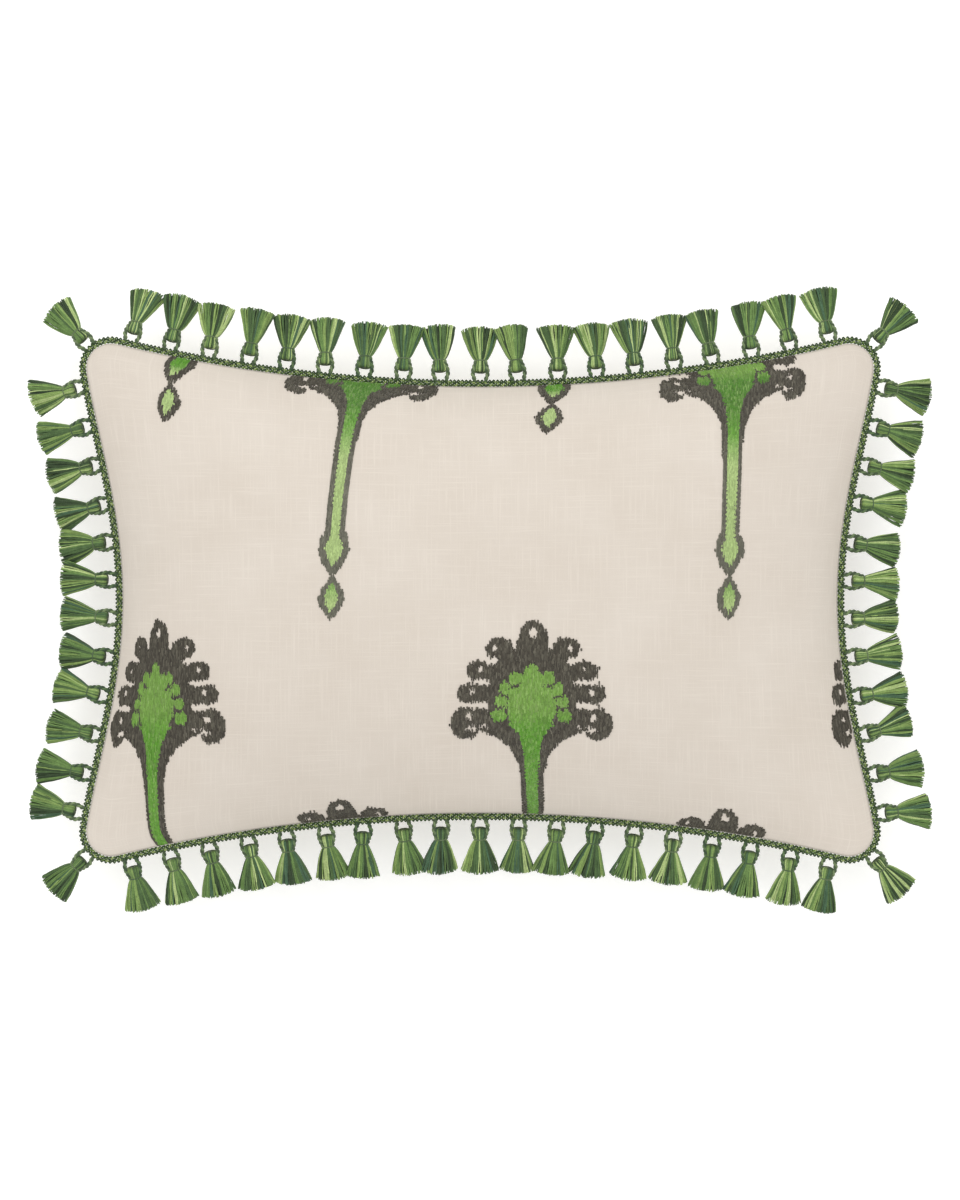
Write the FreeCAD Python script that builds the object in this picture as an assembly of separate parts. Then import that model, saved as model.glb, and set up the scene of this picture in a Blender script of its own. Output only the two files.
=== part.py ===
import FreeCAD, Part
import math
import os

# Lumbar throw pillow with a corded gimp edge and brush tassels, millimetres.
# It lies on its back, face up: +X along the long side, +Y up the face, +Z out of the face.
# The origin is under the middle of the pillow, on the surface that it lies on.

Vector = FreeCAD.Vector
UP = Vector(0, 0, 1)

# Seam outline: the centre line of the gimp, which the filling pulls in between the corners.
SEAM_HEIGHT = 60.0
HALF_LENGTH = 247.5  # at mid-height of the face
SIDE_BOW = 1.514e-3  # how fast the short edges lean out towards the corners
SIDE_EASE = 2.035e-8  # how they straighten again close to the corners
HALF_WIDTH = 148.4  # at mid-length of the face
LONG_EDGE_RADIUS = 1073.0
CORNER_RADIUS = 19.0
SIDE_POINTS = 7
CORNER_POINTS = 5
LONG_POINTS = 10

# Cover and insert: two domes back to back, each a stack of level contours.
FRONT_RISE = 75.0
BACK_RISE = 64.0
FULLNESS = 0.5
END_FULLNESS = 1.5  # 1 would round the ends off like the long sides, more is fuller
CONTOUR_LEVELS = (0.0, 0.03, 0.09, 0.18, 0.3, 0.44, 0.6, 0.76)
FRONT_TOP_LEVEL = 0.94
SEAM_GAP = 0.4
PANEL_INSET = 2.65
PANEL_CLOTH = 1.1
PANEL_RIM = 1.8
INSERT_INSET = 11.4
INSERT_CLEARANCE = 0.4
TICKING = 0.7
TICKING_RIM = 1.4
FILL_CLEARANCE = 0.2

# Gimp braid and the flange that the seam holds it by.
GIMP_RADIUS = 2.4
HEADER_START = 2.8
HEADER_WIDTH = 7.4
HEADER_THICKNESS = 0.5

# Embroidery: raised thread in two layers over the front.
REPEAT_X = 135.0
REPEAT_Y = 353.0
FIRST_COLUMN = -234.3
COLUMNS = 5
COLUMN_TOPS = (-15.0, -139.0)  # height of the lowest palm's tip in even and odd columns
LOBE_STEPS = range(-4, 5)
LOBE_TURN = 25.0
LOBE_REACH = 34.0
LOBE_SPLAY = 2.5  # how much further out each lobe stands than the one above it
LOBE_RADIUS = 11.5
HEAD_DROP = 45.0  # all drops are measured down from the palm's tip
HEAD_RADIUS = 33.0
TRUNK_DROPS = (60.0, 132.0)
TRUNK_HALF_WIDTHS = (28.0, 7.0)
STEM_DROPS = (40.0, 160.0)
STEM_HALF_WIDTHS = (10.0, 6.0)
BULB_DROP = 176.0
BULB_RADIUS = 11.0
LOOSE_DROP = 211.5
LOOSE_HALF_HEIGHT = 15.5
LOOSE_HALF_WIDTH = 9.5
GREEN_SCALE = 0.55  # green motif's width against the charcoal one below it
CHARCOAL_LIFT = 0.15
CHARCOAL_THREAD = 0.6
GREEN_LIFT = 0.9
GREEN_THREAD = 0.4

# Tassels.
TASSEL_PITCH = 26.75
DROOP = 15.0
CORD_RADIUS = 1.4
FOOT_START = GIMP_RADIUS + 0.9
FOOT_SPREAD = 4.0
LOOP_BULGE = 6.9
LOOP_WIDEST = 10.5
HEAD_START = 8.0
NECK_AT = 16.5
NECK_RADIUS = 3.0
WRAP_CLEARANCE = 0.25
WRAP_RADIUS = NECK_RADIUS + WRAP_CLEARANCE + CORD_RADIUS
TASSEL_END = 40.4
FAN_HALF_WIDTH = 11.0
FAN_HALF_DEPTH = 6.0
# Half width and half depth of the yarn at steps along the tassel, from its folded head.
HEAD_SECTIONS = ((0.0, 4.4, 2.6), (2.5, 4.9, 3.3), (5.9, 3.6, 3.1))
NECK_LENGTH = 2.4
NEARLY_ROUND = 0.01  # keeps the neck's section an ellipse, like its neighbours
SKIRT_START = (5.0, 5.2, 4.2)
SKIRT_MIDDLE = (8.2, 5.2)
LONG_GROUPS = (4, 4, 3, 4, 4)
SIDE_GROUPS = (4, 4, 4)

# Zipper in the bottom seam, on the back: drawn in a plane through its middle, with
# "along" down the slope of the back panel from the seam and "out" square to that slope.
ZIP_LENGTH = 356.0
ZIP_SLOPE = 51.5
ZIP_ALONG = 10.0
TAPE_OUT = (0.35, 0.85)
TAPE_WIDTH = 6.0
TAPE_GAP = 0.3
COIL_OUT = (0.95, 2.3)
COIL_WIDTH = 1.6
STOP_LENGTH = 4.0
STOP_OUT = (2.32, 3.2)
SLIDER_LENGTH = 9.0
SLIDER_CLEARANCE = 0.35
SLIDER_WALL = 0.8
SLIDER_LIFT = 0.3  # gap between the slider's side walls and the tapes
SLIDER_FROM_STOP = 1.0
EAR_HALF_WIDTH = 1.1
EAR_ROOT = 0.2
EAR_ABOVE_PIN = 0.9
CUT_SPARE = 2.0  # how far a cutting tool runs past what it cuts
PIN_RADIUS = 0.6
PIN_LIFT = 1.25
BARREL_RADIUS = 1.1
BARREL_BORE = 0.65
BARREL_LENGTH = 3.2
EAR_THICKNESS = 0.7
EAR_GAP = 0.2
PULL_LENGTH = 17.0
PULL_THICKNESS = 0.9
PULL_HOLE_RADIUS = 0.9


# ---------------------------------------------------------------- seam outline


def side_x(y):
    return HALF_LENGTH + SIDE_BOW * y**2 - SIDE_EASE * y**4


def side_slope(y):
    return 2 * SIDE_BOW * y - 4 * SIDE_EASE * y**3


def long_centre_y():
    return HALF_WIDTH + LONG_EDGE_RADIUS


def long_y(x):
    return long_centre_y() - math.sqrt(LONG_EDGE_RADIUS**2 - x**2)


def side_normal(y):
    slope = side_slope(y)
    size = math.hypot(1, slope)
    return 1 / size, -slope / size


def long_normal(x):
    return -x / LONG_EDGE_RADIUS, math.sqrt(1 - (x / LONG_EDGE_RADIUS) ** 2)


def corner_arc():
    """Centre of the corner's arc and the height at which the short edge meets it."""
    low, high = 100.0, 190.0
    for _ in range(50):
        y = (low + high) / 2
        nx, ny = side_normal(y)
        cx = side_x(y) - CORNER_RADIUS * nx
        cy = y - CORNER_RADIUS * ny
        reach = math.hypot(cx, long_centre_y() - cy)
        if reach > LONG_EDGE_RADIUS + CORNER_RADIUS:
            low = y
        else:
            high = y
    return cx, cy, y


def quarter_outline():
    """Points (x, y, normal x, normal y) from the right end's middle to the top's middle."""
    cx, cy, side_end = corner_arc()
    points = []
    for i in range(SIDE_POINTS):
        y = side_end * i / SIDE_POINTS
        points.append((side_x(y), y, *side_normal(y)))
    nx, ny = side_normal(side_end)
    start = math.atan2(ny, nx)
    stop = math.atan2(long_centre_y() - cy, -cx)
    for i in range(CORNER_POINTS):
        turn = start + (stop - start) * i / CORNER_POINTS
        c, s = math.cos(turn), math.sin(turn)
        points.append((cx + CORNER_RADIUS * c, cy + CORNER_RADIUS * s, c, s))
    long_start = cx + CORNER_RADIUS * math.cos(stop)
    for i in range(LONG_POINTS + 1):
        x = long_start * (1 - i / LONG_POINTS)
        points.append((x, long_y(x), *long_normal(x)))
    return points


def full_outline():
    quarter = quarter_outline()
    left = [(-x, y, -nx, ny) for x, y, nx, ny in reversed(quarter[:-1])]
    top = quarter + left
    bottom = [(x, -y, nx, -ny) for x, y, nx, ny in reversed(top[1:-1])]
    return top + bottom


def running_length(points):
    """Share of the loop's length at each point, from 0 to 1 at the closing point."""
    closed = points + points[:1]
    total = [0.0]
    for a, b in zip(closed, closed[1:]):
        total.append(total[-1] + math.hypot(b[0] - a[0], b[1] - a[1]))
    return [t / total[-1] for t in total]


OUTLINE = full_outline()
LOOP_KNOTS = running_length(OUTLINE)


def closed_curve(points):
    curve = Part.BSplineCurve()
    curve.interpolate(Points=points, PeriodicFlag=True, Parameters=LOOP_KNOTS)
    return Part.Wire([curve.toShape()])


def inset_loop(inset, z):
    return closed_curve([Vector(x - nx * inset, y - ny * inset, z) for x, y, nx, ny in OUTLINE])


# ---------------------------------------------------------------- domes


def height_share(level):
    """Height of a contour as a share of the rise: steep at the seam, flat at the crown."""
    return level * (1 + FULLNESS) - FULLNESS * level**2


def level_at(share):
    b = 1 + FULLNESS
    return (b - math.sqrt(b**2 - 4 * FULLNESS * share)) / (2 * FULLNESS)


def dome_level(u, v):
    """Level at a point whose squared shares of the half length and half width are u and v."""
    return (1 - u**END_FULLNESS) * (1 - v)


def shrink_to(level, u, v):
    """How far towards the middle an outline point moves to reach a level, from 1 to 0."""
    rim = dome_level(u, v)
    wanted = rim + (1 - rim) * level
    low, high = 0.0, 1.0
    for _ in range(40):
        share = (low + high) / 2
        if dome_level(u * share**2, v * share**2) > wanted:
            low = share
        else:
            high = share
    return (low + high) / 2


def contour(inset, level, z):
    """Level line of a dome: the outline shrunk towards the middle, most at the corners."""
    points = []
    for x, y, nx, ny in OUTLINE:
        px = x - nx * inset
        py = y - ny * inset
        u = min(1.0, abs(px) / (side_x(py) - inset)) ** 2
        v = min(1.0, abs(py) / (long_y(px) - inset)) ** 2
        shrink = shrink_to(level, u, v)
        points.append(Vector(px * shrink, py * shrink, z))
    return closed_curve(points)


def dome(inset, rise, base, top_level, way):
    """Solid dome on the plane at height base, upwards (way 1) or downwards (way -1)."""
    levels = [level for level in CONTOUR_LEVELS if level < top_level - 0.05]
    sections = []
    for level in levels + [top_level]:
        z = base + way * rise * height_share(level)
        sections.append(contour(inset, level, z))
    return Part.makeLoft(sections, True, False)


def shell(inset, rise, base, top_level, way, cloth, rim):
    """Cloth dome: an outer dome less an inner one that is open at the seam plane."""
    outer = dome(inset, rise, base, top_level, way)
    inner = dome(inset + rim, rise - cloth, base, top_level, way)
    return outer.cut(inner)


BACK_FLAT = level_at((SEAM_HEIGHT - SEAM_GAP) / BACK_RISE)
FRONT_BASE = SEAM_HEIGHT + SEAM_GAP
BACK_BASE = SEAM_HEIGHT - SEAM_GAP
INSERT_DROP = PANEL_CLOTH + INSERT_CLEARANCE
FILL_DROP = INSERT_DROP + TICKING + FILL_CLEARANCE


def front_panel():
    return shell(PANEL_INSET, FRONT_RISE, FRONT_BASE, FRONT_TOP_LEVEL, 1, PANEL_CLOTH, PANEL_RIM)


def back_panel():
    return shell(PANEL_INSET, BACK_RISE, BACK_BASE, BACK_FLAT, -1, PANEL_CLOTH, PANEL_RIM)


def insert_side(rise, base, top_level, way):
    return shell(INSERT_INSET, rise - INSERT_DROP, base, top_level, way, TICKING, TICKING_RIM)


def insert_fill():
    inset = INSERT_INSET + TICKING_RIM + FILL_CLEARANCE
    top = dome(inset, FRONT_RISE - FILL_DROP, SEAM_HEIGHT, FRONT_TOP_LEVEL, 1)
    bottom = dome(inset, BACK_RISE - FILL_DROP, SEAM_HEIGHT, BACK_FLAT, -1)
    return top.fuse(bottom)


# ---------------------------------------------------------------- trim


def gimp_braid():
    spine = inset_loop(0.0, SEAM_HEIGHT)
    start = OUTLINE[0]
    circle = Part.Circle(Vector(start[0], 0, SEAM_HEIGHT), Vector(0, 1, 0), GIMP_RADIUS)
    profile = Part.Wire([circle.toShape()])
    return spine.makePipeShell([profile], True, False)


def header_tape():
    low = SEAM_HEIGHT - HEADER_THICKNESS / 2
    outer = Part.Face(inset_loop(HEADER_START, low))
    inner = Part.Face(inset_loop(HEADER_START + HEADER_WIDTH, low))
    return outer.cut(inner).extrude(UP * HEADER_THICKNESS)


# ---------------------------------------------------------------- embroidery


def tall_prism(points):
    wire = Part.makePolygon([Vector(x, y, SEAM_HEIGHT) for x, y in points + points[:1]])
    return Part.Face(wire).extrude(UP * 2 * FRONT_RISE)


def tall_disc(x, y, radius):
    return Part.makeCylinder(radius, 2 * FRONT_RISE, Vector(x, y, SEAM_HEIGHT))


def tapered_strip(x, top, scale, drops, half_widths):
    """Straight strip whose half width goes from one value to another on the way down."""
    high, low = drops
    wide, thin = half_widths
    left = [(x - scale * wide, top - high), (x - scale * thin, top - low)]
    right = [(x + scale * thin, top - low), (x + scale * wide, top - high)]
    return tall_prism(left + right)


def palm(x, top, scale):
    """Palm head on its tapering trunk: a fan of round lobes over a round body."""
    pieces = [tall_disc(x, top - HEAD_DROP, scale * HEAD_RADIUS)]
    for lobe in LOBE_STEPS:
        turn = math.radians(LOBE_TURN * lobe)
        reach = scale * (LOBE_REACH + LOBE_SPLAY * abs(lobe))
        lobe_x = x + reach * math.sin(turn)
        lobe_y = top - HEAD_DROP + reach * math.cos(turn)
        pieces.append(tall_disc(lobe_x, lobe_y, scale * LOBE_RADIUS))
    pieces.append(tapered_strip(x, top, scale, TRUNK_DROPS, TRUNK_HALF_WIDTHS))
    return pieces


def drip(x, top, scale):
    """Lower end of a stem: it narrows, swells to a bulb and leaves one loose drop below."""
    stem = tapered_strip(x, top, scale, STEM_DROPS, STEM_HALF_WIDTHS)
    bulb = tall_disc(x, top - BULB_DROP, scale * BULB_RADIUS)
    wide = scale * LOOSE_HALF_WIDTH
    middle = top - LOOSE_DROP
    high = (x, middle + LOOSE_HALF_HEIGHT)
    low = (x, middle - LOOSE_HALF_HEIGHT)
    loose = tall_prism([high, (x - wide, middle), low, (x + wide, middle)])
    return [stem, bulb, loose]


def motifs(scale):
    pieces = []
    for column in range(COLUMNS):
        x = FIRST_COLUMN + REPEAT_X * column
        for repeat in (0, 1):
            top = COLUMN_TOPS[column % 2] + REPEAT_Y * repeat
            pieces += palm(x, top, scale)
            pieces += drip(x, top, scale)
    return pieces


def thread_layer(scale, lift, thread):
    """Motifs cut from a thin layer that follows the front panel."""
    low = dome(PANEL_INSET, FRONT_RISE, FRONT_BASE + lift, FRONT_TOP_LEVEL, 1)
    high = dome(PANEL_INSET, FRONT_RISE, FRONT_BASE + lift + thread, FRONT_TOP_LEVEL, 1)
    layer = high.cut(low)
    pieces = motifs(scale)
    stencil = pieces[0].multiFuse(pieces[1:])
    return layer.common(stencil)


# ---------------------------------------------------------------- tassels


def bend(start, end, centre):
    """Arc from start to end about a centre, the short way round."""
    radius = (start - centre).Length
    middle = (start + end) * 0.5 - centre
    middle.normalize()
    return Part.Arc(start, centre + middle * radius, end).toShape()


def leg(side):
    """Half of the loop: square off the gimp, out past the head and back in to the neck."""
    foot = Vector(FOOT_START, side * FOOT_SPREAD, 0)
    widest = Vector(LOOP_WIDEST, side * LOOP_BULGE, 0)
    end = Vector(NECK_AT, side * WRAP_RADIUS, 0)
    half_way = (foot + widest) * 0.5
    step = widest - foot
    first_radius = step.Length**2 / (4 * (LOOP_BULGE - FOOT_SPREAD))
    reach, drop = NECK_AT - LOOP_WIDEST, LOOP_BULGE - WRAP_RADIUS
    last_radius = (reach**2 + drop**2) / (2 * drop)
    path = [
        bend(foot, half_way, foot + Vector(0, side * first_radius, 0)),
        bend(half_way, widest, widest - Vector(0, side * first_radius, 0)),
        bend(widest, end, widest - Vector(0, side * last_radius, 0)),
    ]
    circle = Part.Circle(foot, Vector(1, 0, 0), CORD_RADIUS)
    profile = Part.Wire([circle.toShape()])
    return Part.Wire(path).makePipeShell([profile], True, False)


def tassel_loop():
    wrap = Part.makeTorus(WRAP_RADIUS, CORD_RADIUS, Vector(NECK_AT, 0, 0), Vector(1, 0, 0))
    return wrap.multiFuse([leg(1), leg(-1)])


def ellipse_section(s, half_width, half_depth):
    turn = FreeCAD.Placement(Vector(s, 0, 0), FreeCAD.Rotation(Vector(0, 1, 0), 90))
    curve = Part.Ellipse(Vector(0, 0, 0), max(half_width, half_depth), min(half_width, half_depth))
    edge = curve.toShape()
    edge.Placement = turn.multiply(FreeCAD.Placement(Vector(), FreeCAD.Rotation(UP, 90)))
    return Part.Wire([edge])


def tassel_yarn():
    """Folded head, bound neck and spreading skirt, as one lofted bundle."""
    sections = [ellipse_section(HEAD_START + s, wide, deep) for s, wide, deep in HEAD_SECTIONS]
    for s in (NECK_AT - NECK_LENGTH / 2, NECK_AT + NECK_LENGTH / 2):
        sections.append(ellipse_section(s, NECK_RADIUS + NEARLY_ROUND, NECK_RADIUS))
    start, wide, deep = SKIRT_START
    sections.append(ellipse_section(NECK_AT + start, wide, deep))
    sections.append(ellipse_section((NECK_AT + start + TASSEL_END) / 2, *SKIRT_MIDDLE))
    sections.append(ellipse_section(TASSEL_END, FAN_HALF_WIDTH, FAN_HALF_DEPTH))
    return Part.makeLoft(sections, True, True)


def set_on_edge(shape, x, y, nx, ny):
    """Copy of a tassel piece at a point of the seam, pointing out along the normal."""
    lean = FreeCAD.Rotation(Vector(0, 1, 0), DROOP)
    face = FreeCAD.Rotation(UP, math.degrees(math.atan2(ny, nx)))
    copy = shape.copy()
    copy.Placement = FreeCAD.Placement(Vector(x, y, SEAM_HEIGHT), face.multiply(lean))
    return copy


def spread(count):
    return [TASSEL_PITCH * (i - (count - 1) / 2) for i in range(count)]


def long_seats(way):
    seats = []
    for x in spread(sum(LONG_GROUPS)):
        nx, ny = long_normal(x)
        seats.append((x, way * long_y(x), nx, way * ny))
    return seats


def side_seats(way):
    seats = []
    for y in spread(sum(SIDE_GROUPS)):
        nx, ny = side_normal(y)
        seats.append((way * side_x(y), y, way * nx, ny))
    return seats


def corner_seat(way_x, way_y):
    cx, cy, _ = corner_arc()
    diagonal = math.sqrt(0.5)
    reach = CORNER_RADIUS * diagonal
    return way_x * (cx + reach), way_y * (cy + reach), way_x * diagonal, way_y * diagonal


def grouped(name, seats, sizes):
    groups = {}
    first = 0
    for number, size in enumerate(sizes, 1):
        groups[f"{name}_{number}"] = seats[first : first + size]
        first += size
    return groups


def tassel_groups():
    groups = {}
    groups.update(grouped("tassels_top", long_seats(1), LONG_GROUPS))
    groups.update(grouped("tassels_bottom", long_seats(-1), LONG_GROUPS))
    groups.update(grouped("tassels_left", side_seats(-1), SIDE_GROUPS))
    groups.update(grouped("tassels_right", side_seats(1), SIDE_GROUPS))
    for end, way_y in (("top", 1), ("bottom", -1)):
        for side, way_x in (("left", -1), ("right", 1)):
            groups[f"tassel_corner_{end}_{side}"] = [corner_seat(way_x, way_y)]
    return groups


# ---------------------------------------------------------------- zipper


def zip_point(along, out):
    """Point of the zipper's cross-section in the plane x = 0, below the bottom seam."""
    slope = math.radians(ZIP_SLOPE)
    y = -HALF_WIDTH + PANEL_INSET + along * math.cos(slope) - out * math.sin(slope)
    z = BACK_BASE - along * math.sin(slope) - out * math.cos(slope)
    return Vector(0, y, z)


def turned(shape, distance):
    """Shape moved along the bottom edge's arc by a distance, to the right when positive."""
    degrees = math.degrees(distance / LONG_EDGE_RADIUS)
    copy = shape.copy()
    copy.rotate(Vector(0, -long_centre_y(), 0), UP, -degrees)
    return copy


def along_seam(corners, start, length):
    """Bar with the given cross-section that follows the bottom edge's arc."""
    points = [zip_point(along, out) for along, out in corners]
    face = Part.Face(Part.makePolygon(points + points[:1]))
    degrees = math.degrees(length / LONG_EDGE_RADIUS)
    bar = face.revolve(Vector(0, -long_centre_y(), 0), UP, -degrees)
    return turned(bar, start)


def box_corners(along_low, along_high, out_low, out_high):
    return [(along_low, out_low), (along_high, out_low), (along_high, out_high), (along_low, out_high)]


def zipper_half(side, near, far, out):
    """One long strip beside the zipper's centre line, above it (side -1) or below it."""
    a = ZIP_ALONG + side * near
    b = ZIP_ALONG + side * far
    return along_seam(box_corners(min(a, b), max(a, b), *out), -ZIP_LENGTH / 2, ZIP_LENGTH)


def zipper_stops():
    corners = box_corners(ZIP_ALONG - COIL_WIDTH, ZIP_ALONG + COIL_WIDTH, *STOP_OUT)
    left = along_seam(corners, -ZIP_LENGTH / 2, STOP_LENGTH)
    right = along_seam(corners, ZIP_LENGTH / 2 - STOP_LENGTH, STOP_LENGTH)
    return Part.makeCompound([left, right])


SLIDER_START = -ZIP_LENGTH / 2 + STOP_LENGTH + SLIDER_LENGTH / 2 + SLIDER_FROM_STOP
SLIDER_TOP = COIL_OUT[1] + SLIDER_CLEARANCE + SLIDER_WALL
PIN_OUT = SLIDER_TOP + PIN_LIFT


DOWN_SLOPE = zip_point(1, 0) - zip_point(0, 0)
OUT_OF_SLOPE = zip_point(0, 1) - zip_point(0, 0)


def rod(radius, length, centre_out, along):
    """Cylinder across the chain, centred on the zipper's middle."""
    start = zip_point(along - length / 2, centre_out)
    return Part.makeCylinder(radius, length, start, DOWN_SLOPE)


def plate(chain_low, chain_high, along_low, along_high, out_low, out_high):
    """Straight block in the zipper's own directions, about its middle."""
    points = [zip_point(a, o) for a, o in box_corners(along_low, along_high, out_low, out_high)]
    face = Part.Face(Part.makePolygon(points + points[:1]))
    face.translate(Vector(chain_low, 0, 0))
    return face.extrude(Vector(chain_high - chain_low, 0, 0))


def zipper_slider():
    inner = COIL_WIDTH + SLIDER_CLEARANCE
    outer = inner + SLIDER_WALL
    low = TAPE_OUT[1] + SLIDER_LIFT
    roof = COIL_OUT[1] + SLIDER_CLEARANCE
    half = SLIDER_LENGTH / 2
    cap = box_corners(ZIP_ALONG - outer, ZIP_ALONG + outer, roof, SLIDER_TOP)
    top = along_seam(cap, -half, SLIDER_LENGTH)
    walls = []
    for side in (-1, 1):
        a = ZIP_ALONG + side * inner
        b = ZIP_ALONG + side * outer
        walls.append(along_seam(box_corners(min(a, b), max(a, b), low, roof), -half, SLIDER_LENGTH))
    pin_length = BARREL_LENGTH + 2 * EAR_GAP + 2 * EAR_THICKNESS
    pin = rod(PIN_RADIUS, pin_length, PIN_OUT, ZIP_ALONG)
    ears = []
    for side in (-1, 1):
        a = ZIP_ALONG + side * (BARREL_LENGTH / 2 + EAR_GAP)
        b = a + side * EAR_THICKNESS
        root, tip = SLIDER_TOP - EAR_ROOT, PIN_OUT + EAR_ABOVE_PIN
        ears.append(plate(-EAR_HALF_WIDTH, EAR_HALF_WIDTH, min(a, b), max(a, b), root, tip))
    return turned(top.multiFuse(walls + ears + [pin]), SLIDER_START)


def pull_tab():
    """Flat pull on a barrel round the slider's pin, lying back over the closed chain."""
    half_width = BARREL_LENGTH / 2
    low = PIN_OUT - PULL_THICKNESS / 2
    high = PIN_OUT + PULL_THICKNESS / 2
    strap = plate(0, PULL_LENGTH, ZIP_ALONG - half_width, ZIP_ALONG + half_width, low, high)
    barrel = rod(BARREL_RADIUS, BARREL_LENGTH, PIN_OUT, ZIP_ALONG)
    bore = rod(BARREL_BORE, BARREL_LENGTH + CUT_SPARE, PIN_OUT, ZIP_ALONG)
    end = zip_point(ZIP_ALONG, low) + Vector(PULL_LENGTH, 0, 0)
    tip = Part.makeCylinder(half_width, PULL_THICKNESS, end, OUT_OF_SLOPE)
    eye_start = end - OUT_OF_SLOPE * CUT_SPARE / 2
    eye = Part.makeCylinder(PULL_HOLE_RADIUS, PULL_THICKNESS + CUT_SPARE, eye_start, OUT_OF_SLOPE)
    tab = strap.multiFuse([barrel, tip]).cut(bore).cut(eye)
    return turned(tab, SLIDER_START)


# ---------------------------------------------------------------- output


def write(name, shape):
    shape.exportStep(f"parts/{name}.step")


def main():
    os.makedirs("parts", exist_ok=True)
    write("front_panel", front_panel())
    write("back_panel", back_panel())
    write("insert_front_ticking", insert_side(FRONT_RISE, FRONT_BASE, FRONT_TOP_LEVEL, 1))
    write("insert_back_ticking", insert_side(BACK_RISE, BACK_BASE, BACK_FLAT, -1))
    write("insert_fill", insert_fill())
    write("gimp_braid", gimp_braid())
    write("header_tape", header_tape())
    write("embroidery_charcoal", thread_layer(1.0, CHARCOAL_LIFT, CHARCOAL_THREAD))
    write("embroidery_green", thread_layer(GREEN_SCALE, GREEN_LIFT, GREEN_THREAD))
    loop = tassel_loop()
    yarn = tassel_yarn()
    for name, seats in tassel_groups().items():
        write(f"{name}_loops", Part.makeCompound([set_on_edge(loop, *seat) for seat in seats]))
        write(f"{name}_yarn", Part.makeCompound([set_on_edge(yarn, *seat) for seat in seats]))
    for name, side in (("upper", -1), ("lower", 1)):
        write(f"zipper_tape_{name}", zipper_half(side, TAPE_GAP / 2, TAPE_WIDTH, TAPE_OUT))
        write(f"zipper_coil_{name}", zipper_half(side, 0.05, COIL_WIDTH, COIL_OUT))
    write("zipper_stops", zipper_stops())
    write("zipper_slider", zipper_slider())
    write("zipper_pull", pull_tab())


main()
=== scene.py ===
import math

import bpy
import numpy as np
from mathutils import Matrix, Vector


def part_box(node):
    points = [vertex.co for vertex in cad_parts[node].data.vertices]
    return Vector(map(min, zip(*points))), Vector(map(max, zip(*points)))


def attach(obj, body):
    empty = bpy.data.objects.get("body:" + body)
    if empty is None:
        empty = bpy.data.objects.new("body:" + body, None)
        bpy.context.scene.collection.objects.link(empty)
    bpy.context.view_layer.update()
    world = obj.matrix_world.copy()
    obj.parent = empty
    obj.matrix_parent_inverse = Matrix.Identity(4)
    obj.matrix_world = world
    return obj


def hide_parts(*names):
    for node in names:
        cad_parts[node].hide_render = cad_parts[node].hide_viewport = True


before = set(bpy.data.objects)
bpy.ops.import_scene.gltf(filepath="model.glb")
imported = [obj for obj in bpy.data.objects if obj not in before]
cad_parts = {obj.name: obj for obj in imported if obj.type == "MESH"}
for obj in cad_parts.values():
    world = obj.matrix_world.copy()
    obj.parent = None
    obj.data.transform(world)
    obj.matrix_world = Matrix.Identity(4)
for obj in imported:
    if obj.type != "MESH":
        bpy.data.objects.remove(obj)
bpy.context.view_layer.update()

# Throw pillow: linen cover with embroidered palms, gimp braid and brush tassels.
# Lengths are in millimetres up to the point where a mesh is made, and MM turns them into metres.
MM = 0.001
SEED = 7
UP = np.array([0.0, 0.0, 1.0])

# Seam outline: the same curve that the CAD gimp follows.
HALF_LENGTH = 247.5
SIDE_BOW = 1.514e-3
SIDE_EASE = 2.035e-8
HALF_WIDTH = 148.4
LONG_EDGE_RADIUS = 1073.0
CORNER_RADIUS = 19.0

# Cover.
FLAT_HALF_LENGTH = 279.5
FLAT_HALF_WIDTH = 178.0
CELL = 4.0
SEAM_INSET = 2.0
FULLNESS = 0.5
END_FULLNESS = 1.5
CLOTH_THICKNESS = 0.7
FILLING_PRESSURE = 3.0
CLOTH_FRAMES = 24
CLOTH_TRAVEL = 7.0  # the most that the simulation may move the cloth
LINEN_CLOTH = {
    "quality": 6,
    "mass": 0.25,
    "tension_stiffness": 25,
    "compression_stiffness": 25,
    "shear_stiffness": 8,
    "bending_stiffness": 0.6,
    "air_damping": 5,
    "use_pressure": True,
    "vertex_group_mass": "seam",
}
FLOOR_GAP = 0.1

# Tassels.
TASSEL_PITCH = 26.75
LONG_GROUPS = (4, 4, 3, 4, 4)
SIDE_GROUPS = (4, 4, 4)
DROOP = 15.0
TURN_SPREAD = 2.6
ROLL_SPREAD = 6.0
NECK_AT = 16.5
SKIRT_LENGTH = 24.0


def node_top(node):
    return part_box(node)[1][2] / MM


def node_bottom(node):
    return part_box(node)[0][2] / MM


SEAM_Z = (node_top("header_tape") + node_bottom("header_tape")) / 2
FRONT_RISE = node_top("front_panel") - SEAM_Z
BACK_RISE = (SEAM_Z - node_bottom("back_panel")) * 64 / 60  # before the floor flattens it


# ---- outline


def side_x(y):
    return HALF_LENGTH + SIDE_BOW * y**2 - SIDE_EASE * y**4


def side_normal(y):
    slope = 2 * SIDE_BOW * y - 4 * SIDE_EASE * y**3
    size = np.sqrt(1 + slope**2)
    return 1 / size, -slope / size


def long_y(x):
    return HALF_WIDTH + LONG_EDGE_RADIUS - np.sqrt(LONG_EDGE_RADIUS**2 - x**2)


def long_normal(x):
    return -x / LONG_EDGE_RADIUS, np.sqrt(1 - (x / LONG_EDGE_RADIUS) ** 2)


def corner_arc():
    low, high = 100.0, 190.0
    centre_y = HALF_WIDTH + LONG_EDGE_RADIUS
    for _ in range(50):
        y = (low + high) / 2
        nx, ny = side_normal(y)
        cx = side_x(y) - CORNER_RADIUS * nx
        cy = y - CORNER_RADIUS * ny
        if math.hypot(cx, centre_y - cy) > LONG_EDGE_RADIUS + CORNER_RADIUS:
            low = y
        else:
            high = y
    return cx, cy, y


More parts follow.
